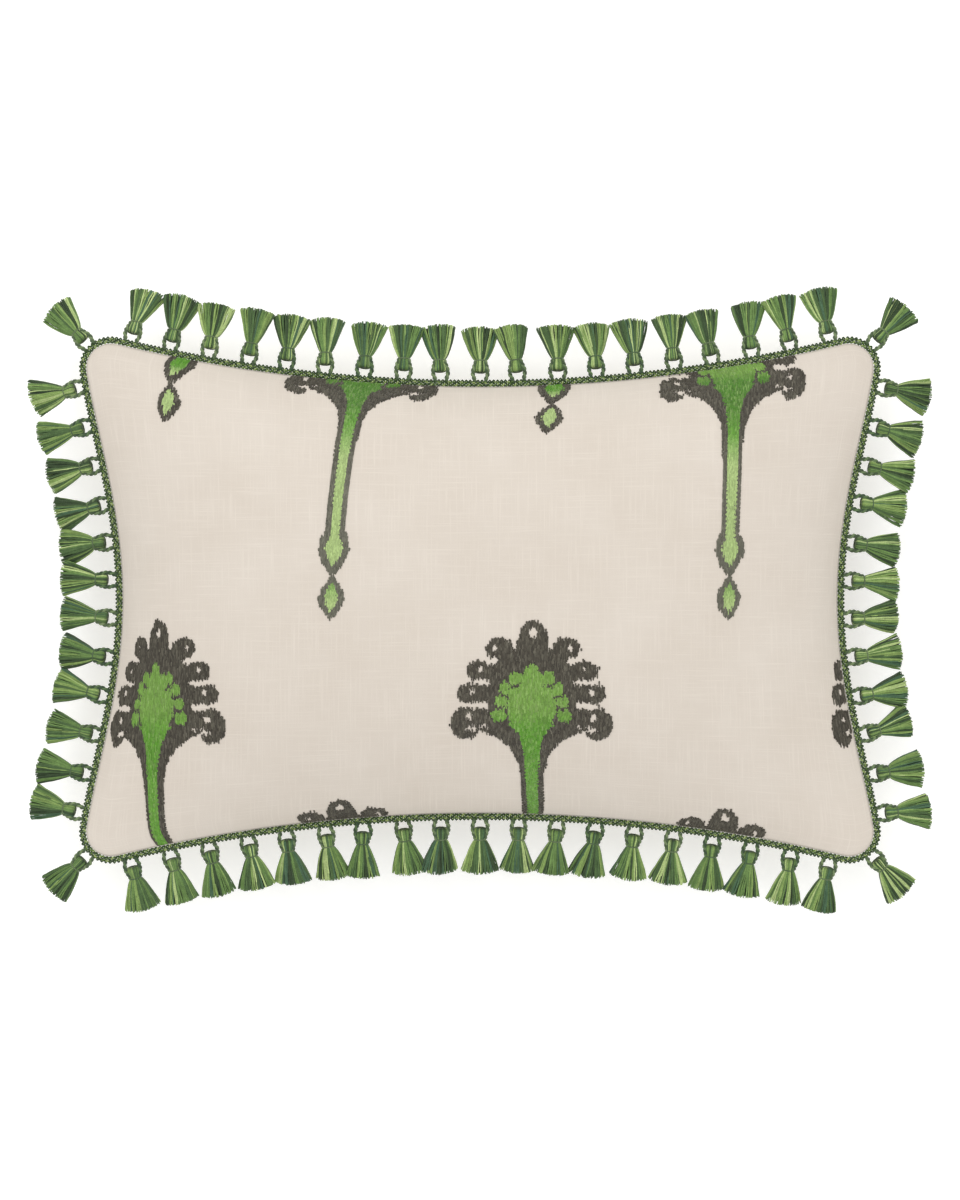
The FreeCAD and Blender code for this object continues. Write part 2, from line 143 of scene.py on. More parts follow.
def quarter_outline(step=1.0):
    """Dense points (x, y, normal x, normal y) from the right end's middle to the top's."""
    cx, cy, side_end = corner_arc()
    y = np.linspace(0, side_end, int(side_end / step))[:-1]
    nx, ny = side_normal(y)
    side = np.stack([side_x(y), y, nx, ny], 1)
    nx, ny = side_normal(side_end)
    start = math.atan2(ny, nx)
    stop = math.atan2(HALF_WIDTH + LONG_EDGE_RADIUS - cy, -cx)
    turn = np.linspace(start, stop, int(CORNER_RADIUS * (stop - start) / step))[:-1]
    c, s = np.cos(turn), np.sin(turn)
    corner = np.stack([cx + CORNER_RADIUS * c, cy + CORNER_RADIUS * s, c, s], 1)
    x0 = cx + CORNER_RADIUS * math.cos(stop)
    x = np.linspace(x0, 0, int(x0 / step))
    nx, ny = long_normal(x)
    long_part = np.stack([x, long_y(x), nx, ny], 1)
    return np.concatenate([side, corner, long_part])


def full_outline():
    quarter = quarter_outline()
    left = quarter[:-1][::-1] * [-1, 1, -1, 1]
    top = np.concatenate([quarter, left])
    bottom = top[1:-1][::-1] * [1, -1, 1, -1]
    return np.concatenate([top, bottom])


OUTLINE = full_outline()
OUTLINE_AT = np.concatenate([[0], np.cumsum(np.hypot(*np.diff(OUTLINE[:, :2], axis=0).T))])
PERIMETER = OUTLINE_AT[-1] + float(np.hypot(*(OUTLINE[0, :2] - OUTLINE[-1, :2])))


def on_outline(distance):
    """Points and normals at these distances round the seam, from the right end's middle."""
    closed = np.concatenate([OUTLINE, OUTLINE[:1]])
    at = np.append(OUTLINE_AT, PERIMETER)
    d = np.mod(distance, PERIMETER)
    return np.stack([np.interp(d, at, closed[:, k]) for k in range(4)], -1)


# ---- mesh helpers


def linked(name, data):
    """New object in the scene that shows this data."""
    piece = bpy.data.objects.new(name, data)
    bpy.context.scene.collection.objects.link(piece)
    return piece


def new_mesh(name, points, faces, material=None):
    """Object from points in millimetres and a list or array of faces."""
    mesh = bpy.data.meshes.new(name)
    points = np.asarray(points, dtype=float) * MM
    faces = faces if isinstance(faces, list) else np.asarray(faces).tolist()
    mesh.from_pydata(points.tolist(), [], faces)
    mesh.update()
    mesh.polygons.foreach_set("use_smooth", np.ones(len(mesh.polygons), dtype=bool))
    if material:
        mesh.materials.append(material)
    return linked(name, mesh)


def paint(piece, colours):
    """Stores a colour per vertex, as shares of 1 in linear light, for the yarn materials."""
    layer = piece.data.color_attributes.new("yarn", "FLOAT_COLOR", "POINT")
    rgba = np.ones((len(piece.data.vertices), 4))
    rgba[:, :3] = colours
    layer.data.foreach_set("color", rgba.ravel())


def frames_along(paths):
    """Tangent and two cross directions at each point of many paths at once."""
    tangent = np.gradient(paths, axis=1)
    tangent /= np.linalg.norm(tangent, axis=2, keepdims=True) + 1e-12
    up = np.zeros_like(tangent)
    up[..., 2] = 1.0
    steep = np.abs(tangent[..., 2]) > 0.95
    up[steep] = [0.0, 1.0, 0.0]
    side = np.cross(tangent, up)
    side /= np.linalg.norm(side, axis=2, keepdims=True)
    return tangent, side, np.cross(side, tangent)


def tube_faces(count, length, sides):
    """Quads round every tube and a cap at both of its ends."""
    index = np.arange(count * length * sides).reshape(count, length, sides)
    after = np.roll(index, -1, axis=2)
    quads = np.stack([index[:, :-1], after[:, :-1], after[:, 1:], index[:, 1:]], -1)
    faces = quads.reshape(-1, 4).tolist()
    return faces + index[:, 0, ::-1].tolist() + index[:, -1].tolist()


def tubes(paths, radii, sides, flatness=1.0):
    """Vertices and faces of closed tubes: paths is (tubes, points, 3), radii (tubes, points)."""
    paths = np.asarray(paths, dtype=float)
    count, length, _ = paths.shape
    _, side, up = frames_along(paths)
    turn = np.arange(sides) * 2 * math.pi / sides + math.pi / sides
    c, s = np.cos(turn)[:, None], flatness * np.sin(turn)[:, None]
    ring = c * side[:, :, None] + s * up[:, :, None]
    verts = paths[:, :, None] + np.asarray(radii)[..., None, None] * ring
    return verts.reshape(-1, 3), tube_faces(count, length, sides)


def tube(path, radius, sides):
    """Vertices and faces of one closed tube of even radius."""
    return tubes(path[None], np.full((1, len(path)), radius), sides)


def joined(parts):
    """Joins (vertices, faces, colours) triples into one."""
    verts, faces, colours, start = [], [], [], 0
    for v, f, c in parts:
        verts.append(v)
        faces += [[i + start for i in face] for face in f]
        colours.append(np.broadcast_to(c, (len(v), 3)))
        start += len(v)
    return np.concatenate(verts), faces, np.concatenate(colours)


def linear(r, g, b):
    """Linear colour from an 0 to 255 display colour."""
    return tuple(((c / 255 + 0.055) / 1.055) ** 2.4 if c > 10 else c / 3294.6 for c in (r, g, b))


# ---- materials


class Nodes:
    """Small helper that adds and links shader nodes of one material."""

    def __init__(self, name):
        self.material = bpy.data.materials.new(name)
        self.material.use_nodes = True
        self.tree = self.material.node_tree
        self.shader = self.tree.nodes["Principled BSDF"]

    def add(self, kind, inputs=None, **settings):
        node = self.tree.nodes.new(kind)
        for key, value in settings.items():
            setattr(node, key, value)
        for key, value in (inputs or {}).items():
            self.put(node.inputs[key], value)
        return node

    def put(self, socket, value):
        if isinstance(value, bpy.types.NodeSocket):
            self.tree.links.new(value, socket)
        else:
            socket.default_value = value

    def set(self, **inputs):
        for key, value in inputs.items():
            self.put(self.shader.inputs[key.replace("_", " ")], value)

    def maths(self, operation, a, b=0.0):
        return self.add("ShaderNodeMath", {0: a, 1: b}, operation=operation).outputs[0]

    def noise(self, vector, scale, detail=2.0, roughness=0.5):
        inputs = {"Vector": vector, "Scale": scale, "Detail": detail, "Roughness": roughness}
        return self.add("ShaderNodeTexNoise", inputs).outputs["Fac"]

    def ramp(self, factor, *stops):
        node = self.add("ShaderNodeValToRGB", {"Fac": factor})
        elements = node.color_ramp.elements
        while len(elements) < len(stops):
            elements.new(0.5)
        for element, (place, colour) in zip(elements, stops):
            element.position = place
            element.color = (*colour, 1.0)
        return node.outputs["Color"]

    def mix(self, factor, a, b, blend="MIX"):
        node = self.add("ShaderNodeMix", data_type="RGBA", blend_type=blend)
        self.put(node.inputs["Factor"], factor)
        for place, value in ((6, a), (7, b)):
            is_socket = isinstance(value, bpy.types.NodeSocket)
            self.put(node.inputs[place], value if is_socket else (*value, 1.0))
        return node.outputs[2]

    def stretched(self, vector, x, y, z):
        inputs = {0: vector, 1: (x, y, z)}
        return self.add("ShaderNodeVectorMath", inputs, operation="MULTIPLY").outputs[0]

    def bump(self, height, strength, distance):
        inputs = {"Height": height, "Strength": strength, "Distance": distance}
        self.set(Normal=self.add("ShaderNodeBump", inputs).outputs["Normal"])

    def object_place(self):
        return self.add("ShaderNodeTexCoord").outputs["Object"]


def woven(name, base, shade, slub, thread=0.00055, sheen=0.15, rough=0.85, on_uv=True):
    """Plain-woven cloth: threads over and under, slubs along both ways, soft tone changes, painted
    shade in the grooves.
    """
    m = Nodes(name)
    place = m.add("ShaderNodeUVMap", uv_map="flat").outputs[0] if on_uv else m.object_place()
    split = m.add("ShaderNodeSeparateXYZ", {0: place})
    wave = math.pi / thread
    warp = m.maths("SINE", m.maths("MULTIPLY", split.outputs[0], wave))
    weft = m.maths("SINE", m.maths("MULTIPLY", split.outputs[1], wave))
    check = m.maths("MULTIPLY", warp, weft)
    rows, columns = m.maths("ABSOLUTE", weft), m.maths("ABSOLUTE", warp)
    over = m.maths("GREATER_THAN", check, 0.0)
    inputs = {"Factor": over, 2: rows, 3: columns}
    weave = m.add("ShaderNodeMix", inputs, data_type="FLOAT").outputs[0]
    slub_x = m.noise(m.stretched(place, 22.0, 900.0, 1.0), 1.0, 3.0, 0.6)
    slub_y = m.noise(m.stretched(place, 900.0, 22.0, 1.0), 1.0, 3.0, 0.6)
    slubs = m.maths("MAXIMUM", slub_x, slub_y)
    cloud = m.noise(place, 14.0, 4.0, 0.6)
    tone = m.ramp(cloud, (0.3, shade), (0.7, base))
    thick = m.ramp(slubs, (0.52, (0, 0, 0)), (0.72, (1, 1, 1)))
    colour = m.mix(m.maths("MULTIPLY", thick, 0.35), tone, slub)
    # painted shade: the grooves between the threads are darkened by a tenth
    groove_shade = m.ramp(weave, (0.0, (0.90, 0.89, 0.87)), (0.5, (1, 1, 1)))
    m.set(Base_Color=m.mix(1.0, colour, groove_shade, "MULTIPLY"), Roughness=rough)
    m.set(Sheen_Weight=sheen, Sheen_Roughness=0.5, Specular_IOR_Level=0.2)
    height = m.maths("ADD", weave, m.maths("MULTIPLY", slubs, 1.6))
    m.bump(height, 0.35, 0.00025)
    return m.material


def yarn(name, rough=0.7, sheen=0.25, dark=0.62, twist=1400.0):
    """Spun yarn: takes each strand's own colour and adds ply lines, fuzz and tone changes."""
    m = Nodes(name)
    own = m.add("ShaderNodeVertexColor", layer_name="yarn").outputs["Color"]
    place = m.object_place()
    fuzz = m.noise(place, twist, 3.0, 0.65)
    patch = m.noise(place, 260.0)
    shade = m.ramp(fuzz, (0.3, (dark, dark, dark)), (0.72, (1.18, 1.18, 1.12)))
    tone = m.ramp(patch, (0.3, (0.86, 0.88, 0.84)), (0.7, (1.1, 1.1, 1.06)))
    colour = m.mix(1.0, m.mix(1.0, own, shade, "MULTIPLY"), tone, "MULTIPLY")
    m.set(Base_Color=colour, Roughness=rough, Specular_IOR_Level=0.25)
    m.set(Sheen_Weight=sheen, Sheen_Roughness=0.45)
    m.bump(fuzz, 0.4, 0.0002)
    return m.material


# ---- cover


def flat_to_plan(columns, rows, inset):
    """Plan position of each point of the flat cloth: its rim on the seam, the rest between."""
    facing = np.arctan2(OUTLINE[:, 3], OUTLINE[:, 2])
    corner = OUTLINE_AT[np.argmin(np.abs(facing - math.pi / 4))]
    top = on_outline(np.linspace(PERIMETER / 2 - corner, corner, columns))
    right = on_outline(np.linspace(-corner, corner, rows))
    bottom = top * [1, -1, 1, -1]
    left = right * [-1, 1, -1, 1]
    rims = [p[:, :2] - inset * p[:, 2:] for p in (top, right, bottom, left)]
    top, right, bottom, left = rims
    s = np.linspace(0, 1, columns)[None, :, None]
    t = np.linspace(0, 1, rows)[:, None, None]
    plan = (1 - t) * bottom[None] + t * top[None] + (1 - s) * left[:, None] + s * right[:, None]
    plan -= (1 - s) * (1 - t) * bottom[0] + s * (1 - t) * bottom[-1]
    plan -= (1 - s) * t * top[0] + s * t * top[-1]
    return plan


def dome_share(x, y, inset):
    """Height as a share of the rise, 0 on the seam and 1 at the crown."""
    u = np.clip(np.abs(x) / (side_x(y) - inset), 0, 1)
    v = np.clip(np.abs(y) / (long_y(x) - inset), 0, 1)
    level = (1 - u ** (2 * END_FULLNESS)) * (1 - v**2)
    return level * (1 + FULLNESS) - FULLNESS * level**2


def evened(plan, rise, inset):
    """Slides the plan points along their rows and columns until the cloth is spaced evenly."""
    plan = plan.copy()
    for axis in (1, 0) * 6:
        lines = np.moveaxis(plan, axis, 1)
        height = rise * dome_share(lines[..., 0], lines[..., 1], inset)
        steps = np.linalg.norm(np.diff(np.dstack([lines, height]), axis=1), axis=2)
        for line, step in zip(lines, steps):
            have = np.concatenate([[0], np.cumsum(step)])
            want = np.linspace(0, have[-1], len(have))
            line[:] = np.stack([np.interp(want, have, line[:, k]) for k in (0, 1)], -1)
    return plan


def cover_grid(rise, way, inset, seam_z):
    """Start shape of one panel as a (rows, columns, 3) grid, with its flat coordinates."""
    columns = int(round(2 * FLAT_HALF_LENGTH / CELL)) + 1
    rows = int(round(2 * FLAT_HALF_WIDTH / CELL)) + 1
    plan = evened(flat_to_plan(columns, rows, inset), rise, inset)
    height = rise * dome_share(plan[..., 0], plan[..., 1], inset)
    height[0] = height[-1] = 0
    height[:, 0] = height[:, -1] = 0
    grid = np.dstack([plan, seam_z + way * height])
    s = np.linspace(-FLAT_HALF_LENGTH, FLAT_HALF_LENGTH, columns)
    t = np.linspace(-FLAT_HALF_WIDTH, FLAT_HALF_WIDTH, rows)
    return grid, np.dstack([*np.meshgrid(s, t), np.zeros((rows, columns))])


def grid_faces(rows, columns, way):
    index = np.arange(rows * columns).reshape(rows, columns)
    quads = np.stack([index[:-1, :-1], index[:-1, 1:], index[1:, 1:], index[1:, :-1]], -1)
    quads = quads.reshape(-1, 4)
    return quads if way > 0 else quads[:, ::-1]


def blown_up(grid, flat, way, pressure, frames, cap):
    """Cloth simulation of one panel: cut flat, held at the seam, pushed out by the filling."""
    rows, columns, _ = grid.shape
    piece = new_mesh("simulated_panel", grid.reshape(-1, 3), grid_faces(rows, columns, way))
    piece.shape_key_add(name="Basis")
    cut = piece.shape_key_add(name="cut")
    cut.data.foreach_set("co", (flat.reshape(-1, 3) * MM).ravel())
    cut.value = 0.0
    rim = np.ones((rows, columns), dtype=bool)
    rim[1:-1, 1:-1] = False
    pins = piece.vertex_groups.new(name="seam")
    pins.add(np.flatnonzero(rim).tolist(), 1.0, "REPLACE")
    cloth = piece.modifiers.new("Cloth", "CLOTH")
    settings = cloth.settings
    for key, value in LINEN_CLOTH.items():
        setattr(settings, key, value)
    settings.uniform_pressure_force = pressure
    settings.effector_weights.gravity = 0.0
    settings.rest_shape_key = cut
    cloth.collision_settings.use_collision = False
    cloth.point_cache.frame_start = 1
    cloth.point_cache.frame_end = frames
    scene = bpy.context.scene
    for number in range(1, frames + 1):
        scene.frame_set(number)
    done = piece.evaluated_get(bpy.context.evaluated_depsgraph_get())
    co = np.empty(rows * columns * 3)
    done.data.vertices.foreach_get("co", co)
    scene.frame_set(1)
    bpy.data.objects.remove(piece)
    moved = co.reshape(rows, columns, 3) / MM - grid
    size = np.linalg.norm(moved, axis=2, keepdims=True)
    return grid + moved * np.minimum(1.0, cap / np.maximum(size, 1e-9))


def relaxed(grid, times, share=0.5):
    """Evens out the grid's surface without moving its rim."""
    out = grid.copy()
    for _ in range(times):
        mean = (out[:-2, 1:-1] + out[2:, 1:-1] + out[1:-1, :-2] + out[1:-1, 2:]) / 4
        out[1:-1, 1:-1] += share * (mean - out[1:-1, 1:-1])
    return out


def doubled(grid):
    """Grid with a point added between each two, on a smooth curve through their neighbours."""
    for axis in (0, 1):
        rows = np.moveaxis(grid, axis, 0)
        before = np.concatenate([2 * rows[:1] - rows[1:2], rows[:-2]])
        after = np.concatenate([rows[2:], 2 * rows[-1:] - rows[-2:-1]])
        between = (9 * (rows[:-1] + rows[1:]) - before - after) / 16
        out = np.empty((2 * len(rows) - 1, *rows.shape[1:]))
        out[::2], out[1::2] = rows, between
        grid = np.moveaxis(out, 0, axis)
    return grid


def settled(grid):
    """Lets the middle of the back panel sag until the floor flattens it."""
    out = grid.copy()
    depth = np.maximum(SEAM_Z - grid[..., 2], 0)
    sag = (BACK_RISE - depth.max()) * (depth / depth.max()) ** 3
    out[..., 2] = np.maximum(grid[..., 2] - sag, FLOOR_GAP)
    return out


def cover_panel(name, grid, flat, way, material):
    """Cloth panel with thickness from its grid, and with its flat layout as a UV map."""
    rows, columns, _ = grid.shape
    piece = new_mesh(name, grid.reshape(-1, 3), grid_faces(rows, columns, way))
    layer = piece.data.uv_layers.new(name="flat")
    corners = np.empty(len(piece.data.loops), dtype=int)
    piece.data.loops.foreach_get("vertex_index", corners)
    layer.data.foreach_set("uv", (flat.reshape(-1, 3)[corners, :2] * MM).ravel())
    thick = piece.modifiers.new("Thick", "SOLIDIFY")
    thick.thickness = CLOTH_THICKNESS * MM
    thick.offset = -1.0
    done = piece.evaluated_get(bpy.context.evaluated_depsgraph_get())
    mesh = bpy.data.meshes.new_from_object(done)
    piece.modifiers.clear()
    piece.data = mesh
    mesh.materials.append(material)
    return piece


class Surface:
    """Looks up points and directions on a panel's grid from flat coordinates."""

    def __init__(self, grid):
        self.grid = grid
        self.rows, self.columns, _ = grid.shape
        d_s = np.gradient(grid, axis=1)
        d_t = np.gradient(grid, axis=0)
        normal = np.cross(d_s, d_t)
        self.normals = normal / np.linalg.norm(normal, axis=2, keepdims=True)

    def at(self, s, t, lift):
        """Points lifted off the cloth by lift, at flat coordinates s and t."""
        c = np.clip((s + FLAT_HALF_LENGTH) / (2 * FLAT_HALF_LENGTH), 0, 1) * (self.columns - 1)
        r = np.clip((t + FLAT_HALF_WIDTH) / (2 * FLAT_HALF_WIDTH), 0, 1) * (self.rows - 1)
        c0 = np.minimum(c.astype(int), self.columns - 2)
        r0 = np.minimum(r.astype(int), self.rows - 2)
        fc, fr = (c - c0)[..., None], (r - r0)[..., None]
        out = []
        for field in (self.grid, self.normals):
            low = field[r0, c0] * (1 - fc) + field[r0, c0 + 1] * fc
            high = field[r0 + 1, c0] * (1 - fc) + field[r0 + 1, c0 + 1] * fc
            out.append(low * (1 - fr) + high * fr)
        return out[0] + out[1] * np.asarray(lift)[..., None]


# ---- embroidery

REPEAT_ACROSS = 139.0
REPEAT_UP = 396.0
FIRST_COLUMN = -241.5
COLUMN_TIPS = (-15.4, -155.5)
# How far each column's cloth was sewn out of true: at the bottom, middle and top edge.
COLUMN_DRIFT = np.array([(11, 4, 22), (3, -2, 15), (0.4, 1.4, 13), (-3, 1, 3), (-2, -2, -2)])
# How much the same cloth was pulled up at the top edge, in all and per millimetre sideways.
COLUMN_LIFT = np.array([-2.0, 3.0, -2.0, -9.5, 0.0])
COLUMN_TILT = np.array([0, 0, 0, -0.07, 0])
# How wide the left and right half of each column shows.
COLUMN_SHARE = np.array([(0.68, 1), (0.93, 0.94), (1, 1), (0.93, 0.90), (0.95, 1)])
BULB_AT = -202.5
DROP_AT = -236.0
HEAD_STRETCH = 1.04
STITCH_PITCH = 0.72
STITCH_LENGTH = 4.0
DARK_LIFT = 0.34
GREEN_LIFT = 0.42


def disc(x, y, cx, cy, r):
    return np.hypot(x - cx, y - cy) - r


def oval(x, y, cx, cy, rx, ry):
    return (np.hypot((x - cx) / rx, (y - cy) / ry) - 1) * min(rx, ry)


def leaf(x, y, cy, half_width, half_height):
    """Pointed upright oval, as distance inside or outside."""
    dx, dy = np.abs(x) / half_width, np.abs(y - cy) / half_height
    return (dx + dy**1.7 + 0.12 * dx * dy - 1) * half_width * 0.7


def smallest(*fields):
    return np.minimum.reduce(fields)


def largest(*fields):
    return np.maximum.reduce(fields)


# Curled fingers of the palm head, the arms that carry them and the bare notches under them.
# Each is an oval: how far it is from the middle, its height, half width and half height.
FINGERS = (
    (23.7, -18.0, 9.5, 6.6),
    (36.6, -33.3, 9.2, 6.2),
    (42.6, -48.9, 9.3, 6.2),
    (46.0, -70.6, 10.8, 11.2),
)
ARMS = (
    (15.0, -28.5, 12.0, 10.0),
    (27.0, -34.0, 9.5, 5.6),
    (33.0, -48.7, 9.5, 5.6),
    (34.5, -65.6, 10.5, 5.4),
)
HEAD_OVALS = ((0, -15.5, 10.8, 15.5), (0, -54, 31, 33), (0, -66, 35, 15))
NOTCHES = (
    (27.8, -26.4, 4.4, 3.1),
    (36.0, -41.0, 4.8, 2.9),
    (40.4, -57.3, 5.2, 2.9),
    (39.2, -74.6, 7.2, 2.5),
    (33.8, -78.4, 4.6, 3.8),
)
EYES = (
    (0.0, -7.6, 3.2, 3.8),
    (26.4, -17.7, 2.1, 2.6),
    (36.4, -32.2, 1.8, 2.8),
    (41.9, -47.4, 1.9, 2.6),
    (43.6, -65.4, 2.4, 3.0),
)
# The green crown's fingers are discs.
GREEN_FINGERS = (
    (0.0, -33.0, 4.4),
    (11.6, -38.4, 4.4),
    (18.2, -45.6, 4.3),
    (21.4, -54.6, 4.1),
    (23.0, -64.6, 5.0),
)
HEAD_FOOT = -100.0  # the head is drawn taller above this height
DARK_STEM_TOP = -74.0
GREEN_STEM_TOP = -70.0


def motif_height(y):
    """Height in the motif before its head is stretched."""
    foot = HEAD_FOOT - HEAD_FOOT / HEAD_STRETCH
    return np.where(y > HEAD_FOOT, y / HEAD_STRETCH, y - foot)


def dark_field(x, y):
    """Distance to the charcoal shape: palm head with curled fingers, stem, bulb and loose drop."""
    ax = np.abs(x)
    y = motif_height(y)
    head = smallest(*(oval(ax, y, *part) for part in HEAD_OVALS + FINGERS + ARMS))
    for hole in NOTCHES + EYES:
        head = np.maximum(head, -oval(ax, y, *hole))
    flare = 27 * np.exp((np.minimum(y, DARK_STEM_TOP) + 76) / 11)
    width = 6.8 + 0.5 * np.clip((y - BULB_AT) / 90, 0, 1) + flare
    stem = largest(ax - width, y - DARK_STEM_TOP, BULB_AT - y)
    bulb = np.minimum(disc(ax, y, 0, BULB_AT + 3, 11.2), leaf(x, y, BULB_AT, 11.6, 18.8))
    return smallest(head, stem, bulb, leaf(x, y, DROP_AT, 9.9, 14.8))


def green_field(x, y):
    """Distance to the green core: a small crown with curled fingers, stripe and hearts."""
    ax = np.abs(x)
    y = motif_height(y)
    crown = smallest(oval(ax, y, 0, -57, 17.2, 20.5), oval(ax, y, 0, -45, 11, 12))
    for finger in GREEN_FINGERS:
        crown = np.minimum(crown, disc(ax, y, *finger))
    for cx, cy, _ in GREEN_FINGERS[1:]:
        crown = np.maximum(crown, -oval(ax, y, cx + 0.6, cy - 5.2, 3.2, 1.3))
    flare = 10 * np.exp((np.minimum(y, GREEN_STEM_TOP) + 72) / 10)
    width = 3.3 + 1.0 * np.clip((y + 175) / 70, 0, 1) + flare
    stripe = largest(ax - width, y - GREEN_STEM_TOP, BULB_AT - y)
    heart = np.minimum(disc(ax, y, 0, BULB_AT + 2.5, 6.0), leaf(x, y, BULB_AT, 6.6, 12.0))
    return smallest(crown, stripe, heart, leaf(x, y, DROP_AT, 5.0, 10.2))


def column_shift(number, t):
    """How far the middle of a column runs beside its straight line at height t."""
    low, middle, high = np.moveaxis(COLUMN_DRIFT[number], -1, 0)
    q = t / 150
    return middle + (high - low) / 2 * q + ((high + low) / 2 - middle) * q**2


def column_rise(number, s, t):
    """How far the cloth of a column was pulled up at the place (s, t)."""
    aside = s - FIRST_COLUMN - REPEAT_ACROSS * number
    return (COLUMN_LIFT[number] + COLUMN_TILT[number] * aside) * np.clip(t / 130, 0, 1) ** 2


CROWN_GREEN = linear(112, 152, 66)
DEEP_GREEN = linear(84, 140, 36)
DARK_GREEN = linear(74, 122, 36)
STEM_GREEN = linear(98, 150, 54)
PALE_GREEN = linear(166, 188, 124)
CHARCOAL = linear(64, 59, 50)
WARM_CHARCOAL = linear(98, 94, 82)
FADED_CHARCOAL = linear(116, 116, 102)
# Heights in the motif and the colours there, for the two kinds of column.
GREEN_RUNS = (
    (
        (-30, -62, -78, -135, -185, -208, -215),
        (CROWN_GREEN, CROWN_GREEN, DEEP_GREEN, STEM_GREEN, DEEP_GREEN, DEEP_GREEN, PALE_GREEN),
    ),
    (
        (-30, -60, -68, -94, -114, -142, -214, -224, -242),
        (CROWN_GREEN, CROWN_GREEN, DARK_GREEN, DARK_GREEN, STEM_GREEN)
        + (PALE_GREEN, PALE_GREEN, STEM_GREEN, PALE_GREEN),
    ),
)


def runs(inside):
    """(start, stop) index pairs of the true stretches of a row."""
    edges = np.diff(np.concatenate([[0], inside.astype(int), [0]]))
    return zip(np.flatnonzero(edges == 1), np.flatnonzero(edges == -1))


def stitch_rows(rng):
    """Runs of stitches as (colour key, column, run's s, low end, high end, motif's tip)."""
    rows = []
    t = np.arange(-FLAT_HALF_WIDTH + 1, FLAT_HALF_WIDTH + 14, 0.4)
    for number in range(len(COLUMN_DRIFT)):
        middle = FIRST_COLUMN + REPEAT_ACROSS * number
        for tip in (COLUMN_TIPS[number % 2], COLUMN_TIPS[number % 2] + REPEAT_UP):
            for x in np.arange(-58.0, 58.0, STITCH_PITCH):
                y = t - tip
                ragged = rng.normal(0, 0.35) + 0.3 * np.sin(y * 1.9 + rng.uniform(0, 6.3))
                dark = dark_field(x, y + rng.normal(0, 0.8)) + ragged < 0
                green = green_field(x, y + rng.normal(0, 0.7)) + ragged < 0
                for key, inside in (("green", green & dark), ("dark", dark & ~green)):
                    for a, b in runs(inside):
                        s = middle + x * COLUMN_SHARE[number, int(x > 0)]
                        rows.append((key, number, s, t[a], t[min(b, len(t) - 1)], tip))
    return rows


def cut_stitches(rows, rng):
    """Splits each run into single stitches with uneven lengths that overlap a little."""
    cut = {"dark": [], "green": []}
    for key, number, s, low, high, tip in rows:
        if high - low < 0.8:
            continue
        at = low - rng.uniform(0, 0.5)
        while at < high:
            length = STITCH_LENGTH * rng.uniform(0.6, 1.35)
            end = min(at + length, high + rng.uniform(0, 0.7))
            if high - end < 1.2:
                end = high + rng.uniform(0, 0.7)
            cut[key].append((s + rng.normal(0, 0.06), at, end, tip, number))
            at = end - rng.uniform(0.5, 1.0)
    return {key: np.array(value) for key, value in cut.items()}


def green_of(y, kind, rng):
    """Thread colour by height in the motif, with paler threads strewn in."""
    own = np.zeros((len(y), 3))
    for number, (heights, shades) in enumerate(GREEN_RUNS):
        drops = -np.array(heights)
        blend = np.stack([np.interp(-y, drops, channel) for channel in zip(*shades)], -1)
        own = np.where((kind == number)[:, None], blend, own)
    spark = 0.35 * rng.random((len(y), 1)) ** 3
    own = own * (1 - spark) + np.array(PALE_GREEN) * spark
    return own * rng.uniform(0.8, 1.2, (len(y), 1))


def dark_of(y, kind, rng):
    share = rng.random((len(y), 1)) ** 2
    own = np.array(CHARCOAL) * (1 - share) + np.array(WARM_CHARCOAL) * share
    faded = (0.6 * kind * np.clip((-100 - y) / 60, 0, 1))[:, None]
    own = own * (1 - faded) + np.array(FADED_CHARCOAL) * faded
    return own * rng.uniform(0.75, 1.25, (len(y), 1))


def stitched(name, stitches, surface, colour_of, lift, material, rng):
    """One thread colour as real stitches: flat threads that dive into the cloth at both ends."""
    s, low, high, tip, number = stitches.T
    number = number.astype(int)
    share = np.array([0.0, 0.15, 0.5, 0.85, 1.0])
    arch = np.array([0.1, 0.8, 1.0, 0.8, 0.1])
    t = low[:, None] + (high - low)[:, None] * share
    lean = rng.normal(0, 0.16, len(s))[:, None] * (share - 0.5)
    height = (lift * rng.uniform(0.75, 1.2, len(s)))[:, None] * arch
    shift = np.stack([column_shift(number, at) for at in t.T], -1)
    t = np.stack([at + column_rise(number, s, at) for at in t.T], -1)
    s = s[:, None] + lean + shift
    edge = FLAT_HALF_WIDTH - 0.5
    t = np.clip(t, -edge, edge)
    inside = (np.abs(s).max(1) < FLAT_HALF_LENGTH - 2) & (np.abs(t).min(1) < edge - 1)
    paths = surface.at(s, t, height)[inside]
    swell = np.array([0.6, 1, 1.05, 1, 0.6])
    radii = STITCH_PITCH * 0.85 * rng.uniform(0.88, 1.12, len(s))[:, None] * swell
    verts, faces = tubes(paths, radii[inside], 4, 0.5)
    piece = new_mesh(name, verts, faces, material)
    colours = colour_of((low + high) / 2 - tip, number % 2, rng)[inside]
    paint(piece, np.repeat(colours, len(share) * 4, axis=0))
    return piece


# ---- gimp braid

BRAID_LENGTH = 8.1
BRAID_HALF_WIDTH = 1.3
BRAID_HALF_DEPTH = 0.6
PLY_RADIUS = 0.46
PLY_OFFSET = 0.42
PLY_LAY = 2.9
PICOT_ROOT = 1.6
PICOT_REACH = 1.0
PICOT_RADIUS = 0.58
GREENS = (
    linear(54, 72, 46),
    linear(74, 98, 60),
    linear(68, 96, 72),
    linear(98, 126, 72),
    linear(124, 148, 86),
    linear(164, 182, 124),
)
OLIVES = (linear(54, 76, 40), linear(96, 122, 62), linear(164, 180, 116))


def seam_frame(distances):
    """Points of the gimp's centre line and the directions out of it."""
    at = on_outline(distances)
    flat = np.zeros((len(at), 1))
    return np.concatenate([at[:, :2], flat + SEAM_Z], 1), np.concatenate([at[:, 2:], flat], 1)


